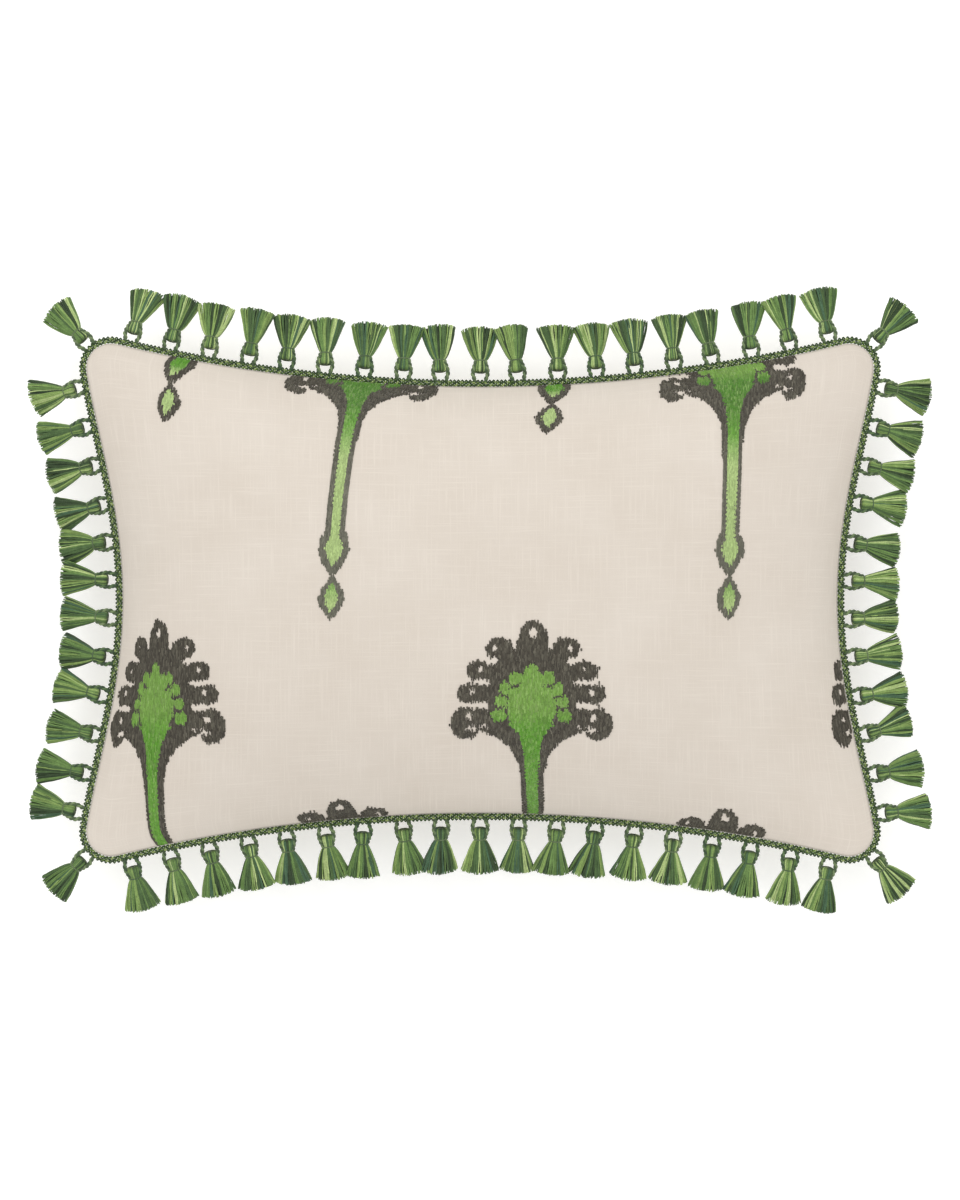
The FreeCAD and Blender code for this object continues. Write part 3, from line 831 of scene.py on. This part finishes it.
def picots(count):
    """Tiny loops of dark yarn along the braid's outer edge, as one (vertices, faces, colours)."""
    middle, out = (a[:, None] for a in seam_frame((np.arange(count) + 0.25) * PERIMETER / count))
    along = np.stack([-out[..., 1], out[..., 0], out[..., 2]], -1)
    share = np.linspace(-1, 1, 5)[None, :, None]
    reach = PICOT_ROOT + PICOT_REACH * np.cos(share * math.pi / 2)
    paths = middle + reach * out + 0.8 * share * along + 0.3 * share * UP
    return *tubes(paths, np.full((count, 5), PICOT_RADIUS), 5), np.array(OLIVES[0])


def gimp_braid(material):
    """Flat plait of three cords, each of two plies, all the way round the seam."""
    periods = round(PERIMETER / BRAID_LENGTH)
    count = int(PERIMETER / 0.36)
    d = np.arange(count + 1) * PERIMETER / count
    centre, outward = seam_frame(d)
    turns = round(PERIMETER / PLY_LAY)
    tones = ((0, 0), (1, 2), (0, 1))
    parts = []
    for k, pair in enumerate(tones):
        phase = 2 * math.pi * (d * periods / PERIMETER + k / 3)
        across = BRAID_HALF_WIDTH * np.sin(phase)[:, None] * outward
        cord = centre + across + BRAID_HALF_DEPTH * np.sin(2 * phase)[:, None] * UP
        for side, tone in enumerate(pair):
            turn = (2 * math.pi * d * turns / PERIMETER + math.pi * side)[:, None]
            ply = cord + PLY_OFFSET * (np.cos(turn) * outward + np.sin(turn) * UP)
            parts.append((*tube(ply, PLY_RADIUS, 5), np.array(OLIVES[tone])))
    parts.append(picots(periods * 3))
    verts, faces, tints = joined(parts)
    piece = new_mesh("gimp_cord", verts, faces, material)
    paint(piece, tints)
    return piece


# ---- tassels


def spread(count):
    return TASSEL_PITCH * (np.arange(count) - (count - 1) / 2)


def tassel_seats():
    """Body name and (x, y, normal x, normal y) of every tassel, in the bodies' own groups."""
    groups = {}
    for name, way in (("tassels_top", 1), ("tassels_bottom", -1)):
        x = spread(sum(LONG_GROUPS))
        nx, ny = long_normal(x)
        groups.update(split_up(name, zip(x, way * long_y(x), nx, way * ny), LONG_GROUPS))
    for name, way in (("tassels_left", -1), ("tassels_right", 1)):
        y = spread(sum(SIDE_GROUPS))
        nx, ny = side_normal(y)
        groups.update(split_up(name, zip(way * side_x(y), y, way * nx, ny), SIDE_GROUPS))
    cx, cy, _ = corner_arc()
    diagonal = math.sqrt(0.5)
    reach = CORNER_RADIUS * diagonal
    for high, wy in (("top", 1), ("bottom", -1)):
        for side, wx in (("left", -1), ("right", 1)):
            seat = (wx * (cx + reach), wy * (cy + reach), wx * diagonal, wy * diagonal)
            groups[f"tassel_corner_{high}_{side}"] = [seat]
    return groups


def split_up(name, seats, sizes):
    """Seats in groups of these sizes, by the names of their bodies."""
    seats = iter(seats)
    return {f"{name}_{k}": [next(seats) for _ in range(n)] for k, n in enumerate(sizes, 1)}


HEAD_START = 8.2
HEAD_AT = np.array([0.0, 0.7, 2.4, 4.8, 6.8, 8.3])
HEAD_HALF_WIDTH = np.array([3.2, 4.1, 4.2, 3.8, 3.4, 3.3])
HEAD_HALF_DEPTH = np.array([1.8, 2.7, 3.0, 3.0, 2.8, 2.7])
SKIRT_SHARE = np.array([0.08, 0.2, 0.36, 0.55, 0.76, 0.95, 1.0])
HEM_HALF_WIDTH = 12.3
HEM_HALF_DEPTH = 5.4
SHELL_STRANDS = 62
INNER_STRANDS = 54
# Radius of a strand at each of its points, from the fold over the cord to the cut end.
YARN_RADII = np.array([30, 46, 48, 42, 36, 36, 40, 46, 50, 53, 56, 57, 52]) / 100
CORE_SHARE = 0.80
CORE_SIDES = 16


def round_the_hem(count, rng):
    """Angles of strands spaced evenly round the hem's ellipse, a little uneven."""
    fine = np.linspace(0, 2 * math.pi, 400)
    step = np.hypot(HEM_HALF_WIDTH * np.sin(fine), HEM_HALF_DEPTH * np.cos(fine))
    arc = np.cumsum(step) / step.sum()
    place = (np.arange(count) + rng.uniform(-0.28, 0.28, count)) / count
    return np.interp(np.mod(place, 1), arc, fine)


def banded_colours(count, rng):
    """Yarn colours in bands of a few neighbouring strands."""
    weights = (0.16, 0.22, 0.08, 0.26, 0.18, 0.10)
    colours = []
    while len(colours) < count:
        tone = GREENS[rng.choice(len(GREENS), p=weights)]
        colours += [tone] * int(rng.integers(1, 4))
    return np.array(colours[:count])


def yarn_bundle(rng):
    """One tassel's yarns, folded at the head, bound at the neck and fanned out below it, with
    painted shade at the fold and on the inner strands.
    """
    count = SHELL_STRANDS + INNER_STRANDS
    around = np.concatenate([round_the_hem(SHELL_STRANDS, rng), round_the_hem(INNER_STRANDS, rng)])
    inner = np.sqrt(rng.uniform(0.02, 0.8, INNER_STRANDS))
    out = np.concatenate([np.ones(SHELL_STRANDS), inner])[:, None]
    wide, deep = out * np.cos(around)[:, None], out * np.sin(around)[:, None]
    flare = rng.uniform(0.62, 0.92)
    spread_out = rng.uniform(0.94, 1.07)
    lean = rng.normal(0, 1.0)
    length = SKIRT_LENGTH * rng.uniform(0.975, 1.01, (count, 1)) * rng.uniform(0.97, 1.03)
    share = SKIRT_SHARE[None, :]
    widening = share**flare
    neck_width, neck_depth = HEAD_HALF_WIDTH[-1], HEAD_HALF_DEPTH[-1]
    t = neck_width + (HEM_HALF_WIDTH * spread_out - neck_width) * widening
    z = neck_depth + (HEM_HALF_DEPTH - neck_depth) * share**0.8
    t, z = wide * t + lean * share, deep * z
    slant = (wide * (HEM_HALF_WIDTH - neck_width) * spread_out) / SKIRT_LENGTH
    s = HEAD_AT[-1] + length * share * np.cos(np.arctan(slant))
    wave = rng.uniform(0, 2 * math.pi, (count, 1))
    t = t + 0.35 * np.sin(share * 7 + wave) * share + rng.normal(0, 0.22, (count, 1)) * share
    z = z + 0.30 * np.cos(share * 6 + wave) * share
    fold = np.array([0.75, 1, 1, 1, 1, 1])
    s = np.concatenate([np.repeat(HEAD_AT[None], count, 0), s], 1) + HEAD_START
    t = np.concatenate([wide * HEAD_HALF_WIDTH * fold, t], 1)
    z = np.concatenate([deep * HEAD_HALF_DEPTH * fold, z], 1)
    paths = np.dstack([s, t, z])
    verts, faces = tubes(paths, YARN_RADII * rng.uniform(0.9, 1.12, (count, 1)), 4)
    shell = banded_colours(SHELL_STRANDS, rng)
    # painted shade: the inner strands are a fifth darker than the outer shell
    colours = np.concatenate([shell, banded_colours(INNER_STRANDS, rng) * 0.8])
    colours = colours * rng.uniform(0.98, 1.38, (count, 1))
    tint = np.repeat(colours[:, None], paths.shape[1], axis=1)
    # painted shade: the first two points of each strand, at the fold under the head, are darker
    tint[:, 0] *= 0.45
    tint[:, 1] *= 0.8
    return verts, faces, np.repeat(tint.reshape(-1, 3), 4, axis=0)


def bundle_shade_core():
    """Dark middle of the tassel, painted shade standing in for the shade inside the bundle, so
    that no light shows between its yarns.
    """
    ring = np.arange(CORE_SIDES) * 2 * math.pi / CORE_SIDES
    at = np.concatenate([HEAD_AT[1:], HEAD_AT[-1] + SKIRT_LENGTH * SKIRT_SHARE[:-1]])
    flare = SKIRT_SHARE[:-1] ** 0.9
    wide = HEAD_HALF_WIDTH[-1] + (HEM_HALF_WIDTH - HEAD_HALF_WIDTH[-1]) * flare
    deep = HEAD_HALF_DEPTH[-1] + (HEM_HALF_DEPTH - HEAD_HALF_DEPTH[-1]) * flare
    wide = CORE_SHARE * np.concatenate([HEAD_HALF_WIDTH[1:], wide])
    deep = CORE_SHARE * np.concatenate([HEAD_HALF_DEPTH[1:], deep])
    s = np.repeat(HEAD_START + at[:, None], CORE_SIDES, 1)
    points = np.dstack([s, wide[:, None] * np.cos(ring), deep[:, None] * np.sin(ring)])
    faces = tube_faces(1, *points.shape[:2])
    # painted shade: darker than the darkest yarn
    return points.reshape(-1, 3), faces, np.array(GREENS[0]) * 0.6


def twisted(path, ply_radius, lay, colours, sides=6):
    """Two plies laid round a path, as (vertices, faces, colours) parts."""
    _, side, up = frames_along(path[None])
    length = np.concatenate([[0], np.cumsum(np.linalg.norm(np.diff(path, axis=0), axis=1))])
    parts = []
    for k, colour in enumerate(colours):
        turn = 2 * math.pi * length / lay + math.pi * k
        offset = np.cos(turn)[:, None] * side[0] + np.sin(turn)[:, None] * up[0]
        ply = path + 0.82 * ply_radius * offset
        parts.append((*tube(ply, ply_radius, sides), np.array(colour)))
    return parts


def curve_through(points, steps):
    """Smooth open curve through a few points, as many points."""
    points = np.array(points, dtype=float)
    before, after = 2 * points[0] - points[1], 2 * points[-1] - points[-2]
    padded = np.stack([before, *points, after])
    u = np.linspace(0, 1, steps, endpoint=False)[:, None]
    out = []
    for k in range(1, len(padded) - 2):
        p0, p1, p2, p3 = padded[k - 1 : k + 3]
        square = 2 * p0 - 5 * p1 + 4 * p2 - p3
        cube = 3 * p1 - p0 - 3 * p2 + p3
        out.append(p1 + 0.5 * ((p2 - p0) * u + square * u**2 + cube * u**3))
    out.append(padded[-2:-1])
    return np.concatenate(out)


LOOP_PLY_RADIUS = 0.92
LOOP_LAY = 5.8
WRAP_TURNS = 2
WRAP_LENGTH = 0.9
WRAP_RADIUS = 0.24
WRAP_STAND_OFF = 0.42
LOOP_PAIRS = (
    (linear(70, 86, 62), linear(104, 124, 88)),
    (linear(80, 98, 70), linear(118, 136, 98)),
    (linear(62, 82, 60), linear(92, 116, 78)),
)


def cord_loop(rng):
    """Cord from the gimp, out round both sides of the head and bound in at the neck."""
    parts = []
    colours = LOOP_PAIRS[int(rng.integers(0, len(LOOP_PAIRS)))]
    for side in (-1, 1):
        swing = rng.normal(0, 0.35)
        route = [
            (1.2, side * 3.7, 0.0),
            (3.8, side * (4.1 + 0.3 * swing), 0.2),
            (6.6, side * (5.0 + 0.5 * swing), 0.4),
            (9.4, side * (5.0 + 0.3 * swing), 0.7),
            (12.2, side * 4.3, 0.9),
            (14.8, side * 3.5, 0.8),
            (17.2, side * 2.9, 0.3),
        ]
        parts += twisted(curve_through(route, 4), LOOP_PLY_RADIUS, LOOP_LAY, colours)
    turn = np.linspace(0, WRAP_TURNS * 2 * math.pi, 40)
    width, depth = HEAD_HALF_WIDTH[-1] + WRAP_STAND_OFF, HEAD_HALF_DEPTH[-1] + WRAP_STAND_OFF
    along = NECK_AT + WRAP_LENGTH * (turn / turn[-1] - 0.5)
    wrap = np.stack([along, width * np.cos(turn), depth * np.sin(turn)], 1)
    parts.append((*tube(wrap, WRAP_RADIUS, 5), np.mean(colours, axis=0)))
    return parts


def placed(parts, seat, droop, turn, roll):
    """Tassel parts moved from their own directions to a seat on the edge."""
    x, y, nx, ny = seat
    out = np.array([nx, ny, 0.0])
    along = np.array([-ny, nx, 0.0])
    c, s = math.cos(turn), math.sin(turn)
    out, along = c * out + s * along, c * along - s * out
    c, s = math.cos(droop), math.sin(droop)
    out, up = c * out - s * UP, c * UP + s * out
    moved = []
    for v, f, colour in parts:
        a = roll * np.clip((v[:, 0] - 12) / 20, 0, 1)
        t = v[:, 1] * np.cos(a) - v[:, 2] * np.sin(a)
        z = v[:, 1] * np.sin(a) + v[:, 2] * np.cos(a)
        place = np.array([x, y, SEAM_Z]) + v[:, :1] * out + t[:, None] * along + z[:, None] * up
        moved.append((place, f, colour))
    return moved


def tassels(materials):
    """All tassels, one pair of pieces for each body."""
    rng = np.random.default_rng(SEED + 3)
    for body, seats in tassel_seats().items():
        cords, bundles = [], []
        for seat in seats:
            droop = DROOP + rng.uniform(-4, 5)
            turn = rng.normal(0, TURN_SPREAD)
            roll = rng.normal(0, ROLL_SPREAD)
            pose = (seat, *np.radians((droop, turn, roll)))
            cords += placed(cord_loop(rng), *pose)
            bundles += placed([yarn_bundle(rng), bundle_shade_core()], *pose)
        kinds = (
            ("twisted", "loops", cords, "tassel_cord"),
            ("cut", "yarn", bundles, "tassel_yarn"),
        )
        for (how, suffix, parts, slot), material in zip(kinds, materials):
            verts, faces, colours = joined(parts)
            piece = new_mesh(f"{body}_{how}_{suffix}", verts, faces, material)
            paint(piece, colours)
            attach(piece, body)
            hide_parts(f"{body}_{suffix}")


# ---- insert

INSERT_INSET = 11.4
INSERT_DROP = 3.5
INSERT_LUMPS = 1.2
FILL_INSET = 13.0
FILL_DROP = 5.0
FILL_LUMPS = 1.5
BACK_EASE = 1.2  # the filling stands off the back cover near its edges
COVER_GAP = 2.2


def stuffed(name, inset, drop, lump, material):
    """Closed pillow shape inside the cover: two domes that share one seam."""
    columns, rows = 121, 77
    plan = evened(flat_to_plan(columns, rows, inset), FRONT_RISE - drop, inset)
    share = dome_share(plan[..., 0], plan[..., 1], inset)
    share[0] = share[-1] = 0
    share[:, 0] = share[:, -1] = 0
    rng = np.random.default_rng(SEED + 9)
    waves = np.zeros_like(share)
    for _ in range(24):
        fx, fy = rng.uniform(-0.14, 0.14, 2)
        waves += np.sin(fx * plan[..., 0] + fy * plan[..., 1] + rng.uniform(0, 6.3))
    waves *= lump / 24
    front = np.dstack([plan, SEAM_Z + (FRONT_RISE - drop) * share + waves * share])
    below = SEAM_Z - (BACK_RISE - drop) * share**BACK_EASE + waves * share
    back = np.dstack([plan, np.maximum(below, drop - COVER_GAP)])  # flat over the floor
    count = rows * columns
    index = np.arange(count).reshape(rows, columns)
    lower = index + count
    lower[0], lower[-1], lower[:, 0], lower[:, -1] = index[0], index[-1], index[:, 0], index[:, -1]
    top, bottom = grid_faces(rows, columns, 1), grid_faces(rows, columns, -1)
    faces = np.concatenate([index.ravel()[top], lower.ravel()[bottom]])
    points = np.concatenate([front.reshape(-1, 3), back.reshape(-1, 3)])
    used, faces = np.unique(faces, return_inverse=True)
    return new_mesh(name, points[used], faces.reshape(-1, 4), material)


# ---- zipper

ZIP_LENGTH = 356.0
ZIP_SLOPE = math.radians(51.5)
ZIP_ALONG = 10.0
PANEL_INSET = 2.65
SEAM_GAP = 0.4
COIL_OUT = (0.95, 2.3)
COIL_WIDTH = 1.6
COIL_PITCH = 1.3
FILAMENT = 0.3


def zip_place(distance, along, out):
    """Points of the zipper: distance along its arc, along the slope and out of it."""
    y = -HALF_WIDTH + PANEL_INSET + along * math.cos(ZIP_SLOPE) - out * math.sin(ZIP_SLOPE)
    z = SEAM_Z - SEAM_GAP - along * math.sin(ZIP_SLOPE) - out * math.cos(ZIP_SLOPE)
    radius = LONG_EDGE_RADIUS + HALF_WIDTH + y
    turn = distance / LONG_EDGE_RADIUS
    centre_y = -HALF_WIDTH - LONG_EDGE_RADIUS
    return np.stack([radius * np.sin(turn), centre_y + radius * np.cos(turn), z + 0 * turn], -1)


def coil_teeth(name, side, material):
    """Spiral of nylon filament, the row of teeth on one zipper tape."""
    turns = int(ZIP_LENGTH / COIL_PITCH)
    t = np.linspace(0, turns * 2 * math.pi, turns * 9)
    half_width = COIL_WIDTH / 2 + 0.12 - FILAMENT
    half_height = (COIL_OUT[1] - COIL_OUT[0]) / 2 - FILAMENT
    shift = COIL_PITCH / 4 if side > 0 else 0.0
    distance = -ZIP_LENGTH / 2 + t / (2 * math.pi) * COIL_PITCH + shift
    along = ZIP_ALONG + side * (COIL_WIDTH / 2) + side * half_width * np.cos(t)
    out = (COIL_OUT[0] + COIL_OUT[1]) / 2 + half_height * np.sin(t)
    path = zip_place(distance, along, out)
    return new_mesh(name, *tube(path, FILAMENT, 5), material)


# ---- other materials


def twill(name, light, dark, pitch=0.0011):
    """Narrow woven tape with slanted ribs, and painted shade in the valleys between them."""
    m = Nodes(name)
    place = m.object_place()
    split = m.add("ShaderNodeSeparateXYZ", {0: place})
    slant = m.maths("ADD", split.outputs[0], m.maths("ADD", split.outputs[1], split.outputs[2]))
    ribs = m.maths("ABSOLUTE", m.maths("SINE", m.maths("MULTIPLY", slant, math.pi / pitch)))
    grain = m.noise(place, 900.0, 3.0, 0.6)
    tone = m.mix(grain, dark, light)
    # painted shade: the valleys between the ribs take a darker mix of the tone
    m.set(Base_Color=m.mix(ribs, m.mix(0.5, tone, dark), tone), Roughness=0.8)
    m.set(Specular_IOR_Level=0.25, Sheen_Weight=0.15)
    m.bump(ribs, 0.5, 0.0002)
    return m.material


def fibre(name, tone):
    """Matted polyester fibre."""
    m = Nodes(name)
    place = m.object_place()
    strands = m.noise(m.stretched(place, 1.0, 1.0, 3.0), 160.0, 8.0, 0.75)
    clumps = m.noise(place, 22.0, 3.0, 0.5)
    colour = m.ramp(strands, (0.3, tuple(0.82 * c for c in tone)), (0.7, tone))
    m.set(Base_Color=colour, Roughness=0.9, Sheen_Weight=0.3, Specular_IOR_Level=0.2)
    m.bump(m.maths("ADD", strands, clumps), 0.8, 0.002)
    return m.material


def brass(name):
    """Antiqued brass: darker in the hollows, brushed and a little scratched."""
    m = Nodes(name)
    place = m.object_place()
    wear = m.noise(place, 420.0, 4.0, 0.6)
    brushed = m.noise(m.stretched(place, 300.0, 3000.0, 3000.0), 1.0)
    m.set(Base_Color=m.ramp(wear, (0.35, linear(122, 96, 58)), (0.65, linear(186, 156, 104))))
    m.set(Metallic=1.0, Roughness=m.ramp(brushed, (0.3, (0.28,) * 3), (0.7, (0.45,) * 3)))
    m.bump(brushed, 0.15, 0.0001)
    return m.material


def nylon(name):
    m = Nodes(name)
    place = m.object_place()
    grain = m.noise(place, 700.0)
    m.set(Base_Color=m.ramp(grain, (0.3, linear(196, 184, 166)), (0.7, linear(216, 206, 190))))
    m.set(Roughness=0.42, Coat_Weight=0.1)
    m.bump(grain, 0.1, 0.0001)
    return m.material


def thread(name, rough, sheen):
    """Embroidery floss: each stitch's own colour, with fine lines along it and a soft gloss."""
    m = Nodes(name)
    own = m.add("ShaderNodeVertexColor", layer_name="yarn").outputs["Color"]
    place = m.object_place()
    lines = m.noise(m.stretched(place, 5200.0, 500.0, 2600.0), 1.0)
    shade = m.ramp(lines, (0.3, (0.72, 0.72, 0.72)), (0.7, (1.15, 1.15, 1.12)))
    m.set(Base_Color=m.mix(1.0, own, shade, "MULTIPLY"), Roughness=rough)
    m.set(Specular_IOR_Level=0.3, Sheen_Weight=sheen, Sheen_Roughness=0.4)
    m.bump(lines, 0.4, 0.0001)
    return m.material


def floor_paint():
    m = Nodes("floor")
    grain = m.noise(m.object_place(), 3.0)
    m.set(Base_Color=m.ramp(grain, (0.3, (0.94, 0.94, 0.935)), (0.7, (0.955, 0.955, 0.95))))
    m.set(Roughness=0.9, Specular_IOR_Level=0.1)
    m.set(Emission_Color=(1, 1, 1, 1), Emission_Strength=FLOOR_GLOW)
    return m.material


# ---- making


def make_cover(name, rise, way, node, material):
    grid, flat = cover_grid(rise, way, SEAM_INSET, SEAM_Z + way * SEAM_GAP)
    grid = blown_up(grid, flat, way, FILLING_PRESSURE * way, CLOTH_FRAMES, CLOTH_TRAVEL)
    grid = relaxed(grid, 2)
    grid, flat = doubled(grid), doubled(flat)
    if way < 0:
        grid = settled(grid)
    surface = Surface(grid)
    piece = cover_panel(name, grid, flat, way, material)
    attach(piece, "cushion")
    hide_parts(node)
    return surface


def make_insert():
    tones = (linear(238, 236, 230), linear(230, 228, 220), linear(245, 244, 240))
    ticking = woven("cotton_ticking", *tones, on_uv=False)
    cover = stuffed("insert_cover", INSERT_INSET, INSERT_DROP, INSERT_LUMPS, ticking)
    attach(cover, "cushion")
    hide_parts("insert_front_ticking", "insert_back_ticking")
    fill = fibre("polyester_fibre", linear(246, 246, 244))
    filling = stuffed("insert_filling", FILL_INSET, FILL_DROP, FILL_LUMPS, fill)
    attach(filling, "cushion")
    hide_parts("insert_fill")
    return cover


def make_embroidery(surface):
    rng = np.random.default_rng(SEED + 1)
    cut = cut_stitches(stitch_rows(rng), rng)
    kinds = (
        ("charcoal", "dark", dark_of, DARK_LIFT),
        ("green", "green", green_of, GREEN_LIFT),
    )
    for name, key, colour_of, lift in kinds:
        node, slot = f"embroidery_{name}", f"{name}_thread"
        material = thread(slot, 0.55, 0.12)
        piece = stitched(f"stitches_{name}", cut[key], surface, colour_of, lift, material, rng)
        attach(piece, "cushion")
        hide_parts(node)


def make_trim():
    gimp = gimp_braid(yarn("gimp_cotton", rough=0.75, sheen=0.2))
    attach(gimp, "cushion")
    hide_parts("gimp_braid")
    tassels((yarn("tassel_cord"), yarn("tassel_yarn", rough=0.72, sheen=0.2)))


def make_zipper():
    plastic = nylon("nylon_filament")
    for suffix, side in (("upper", -1), ("lower", 1)):
        piece = coil_teeth(f"coil_teeth_{suffix}", side, plastic)
        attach(piece, "cushion")
        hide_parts(f"zipper_coil_{suffix}")


def dress_nodes():
    """Materials for the CAD nodes that keep their shape."""
    tape = twill("twill_tape", linear(226, 217, 203), linear(196, 186, 170))
    zipper_tape = twill("zipper_tape", linear(222, 212, 196), linear(188, 178, 160), 0.0009)
    metal = brass("antique_brass")
    finishes = {
        "header_tape": tape,
        "zipper_tape_upper": zipper_tape,
        "zipper_tape_lower": zipper_tape,
        "zipper_stops": metal,
        "zipper_slider": metal,
        "zipper_pull": metal,
    }
    for node, material in finishes.items():
        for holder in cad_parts[node].material_slots:
            holder.material = material


# ---- stage

# Name, place in metres, size in metres and power in watts.
LIGHTS = (
    ("key", (-0.7, 1.9, 2.3), 1.6, 30.0),
    ("fill", (1.2, -1.6, 2.2), 2.2, 14.0),
)
SENSOR = 36.0
VIEW_HEIGHT = 824.4  # what the camera sees from top to bottom at the seam
CAMERA_ABOVE = 3000.0
FLOOR_SIZE = 6000.0
WORLD_LIGHT = 0.92
FLOOR_GLOW = 0.22


def make_stage():
    """Camera straight above the face, pale floor, and soft light from above the pillow's top."""
    camera = linked("camera", bpy.data.cameras.new("camera"))
    camera.location = (0, 0, (SEAM_Z + CAMERA_ABOVE) * MM)
    camera.data.sensor_width = SENSOR
    camera.data.lens = SENSOR * CAMERA_ABOVE / VIEW_HEIGHT
    camera.data.clip_end = 20.0
    bpy.context.scene.camera = camera
    half = FLOOR_SIZE / 2
    corners = [(-half, -half, 0), (half, -half, 0), (half, half, 0), (-half, half, 0)]
    floor = new_mesh("floor", corners, [[0, 1, 2, 3]], floor_paint())
    for name, place, size, power in LIGHTS:
        data = bpy.data.lights.new(name, "AREA")
        data.size = size
        data.energy = power
        light = linked(name, data)
        light.location = place
        direction = Vector((0, 0, SEAM_Z * MM)) - Vector(place)
        light.rotation_euler = direction.to_track_quat("-Z", "Y").to_euler()
    world = bpy.data.worlds.new("studio")
    world.use_nodes = True
    background = world.node_tree.nodes["Background"].inputs
    background["Color"].default_value = (1, 1, 1, 1)
    background["Strength"].default_value = WORLD_LIGHT
    bpy.context.scene.world = world
    bpy.context.scene.view_settings.view_transform = "Standard"


make_stage()
linen = woven("linen", linear(211, 202, 191), linear(205, 195, 183), linear(227, 219, 208))
insert = make_insert()
face = make_cover("cover_front", FRONT_RISE, 1, "front_panel", linen)
make_cover("cover_back", BACK_RISE, -1, "back_panel", linen)
make_embroidery(face)
make_trim()
make_zipper()
dress_nodes()
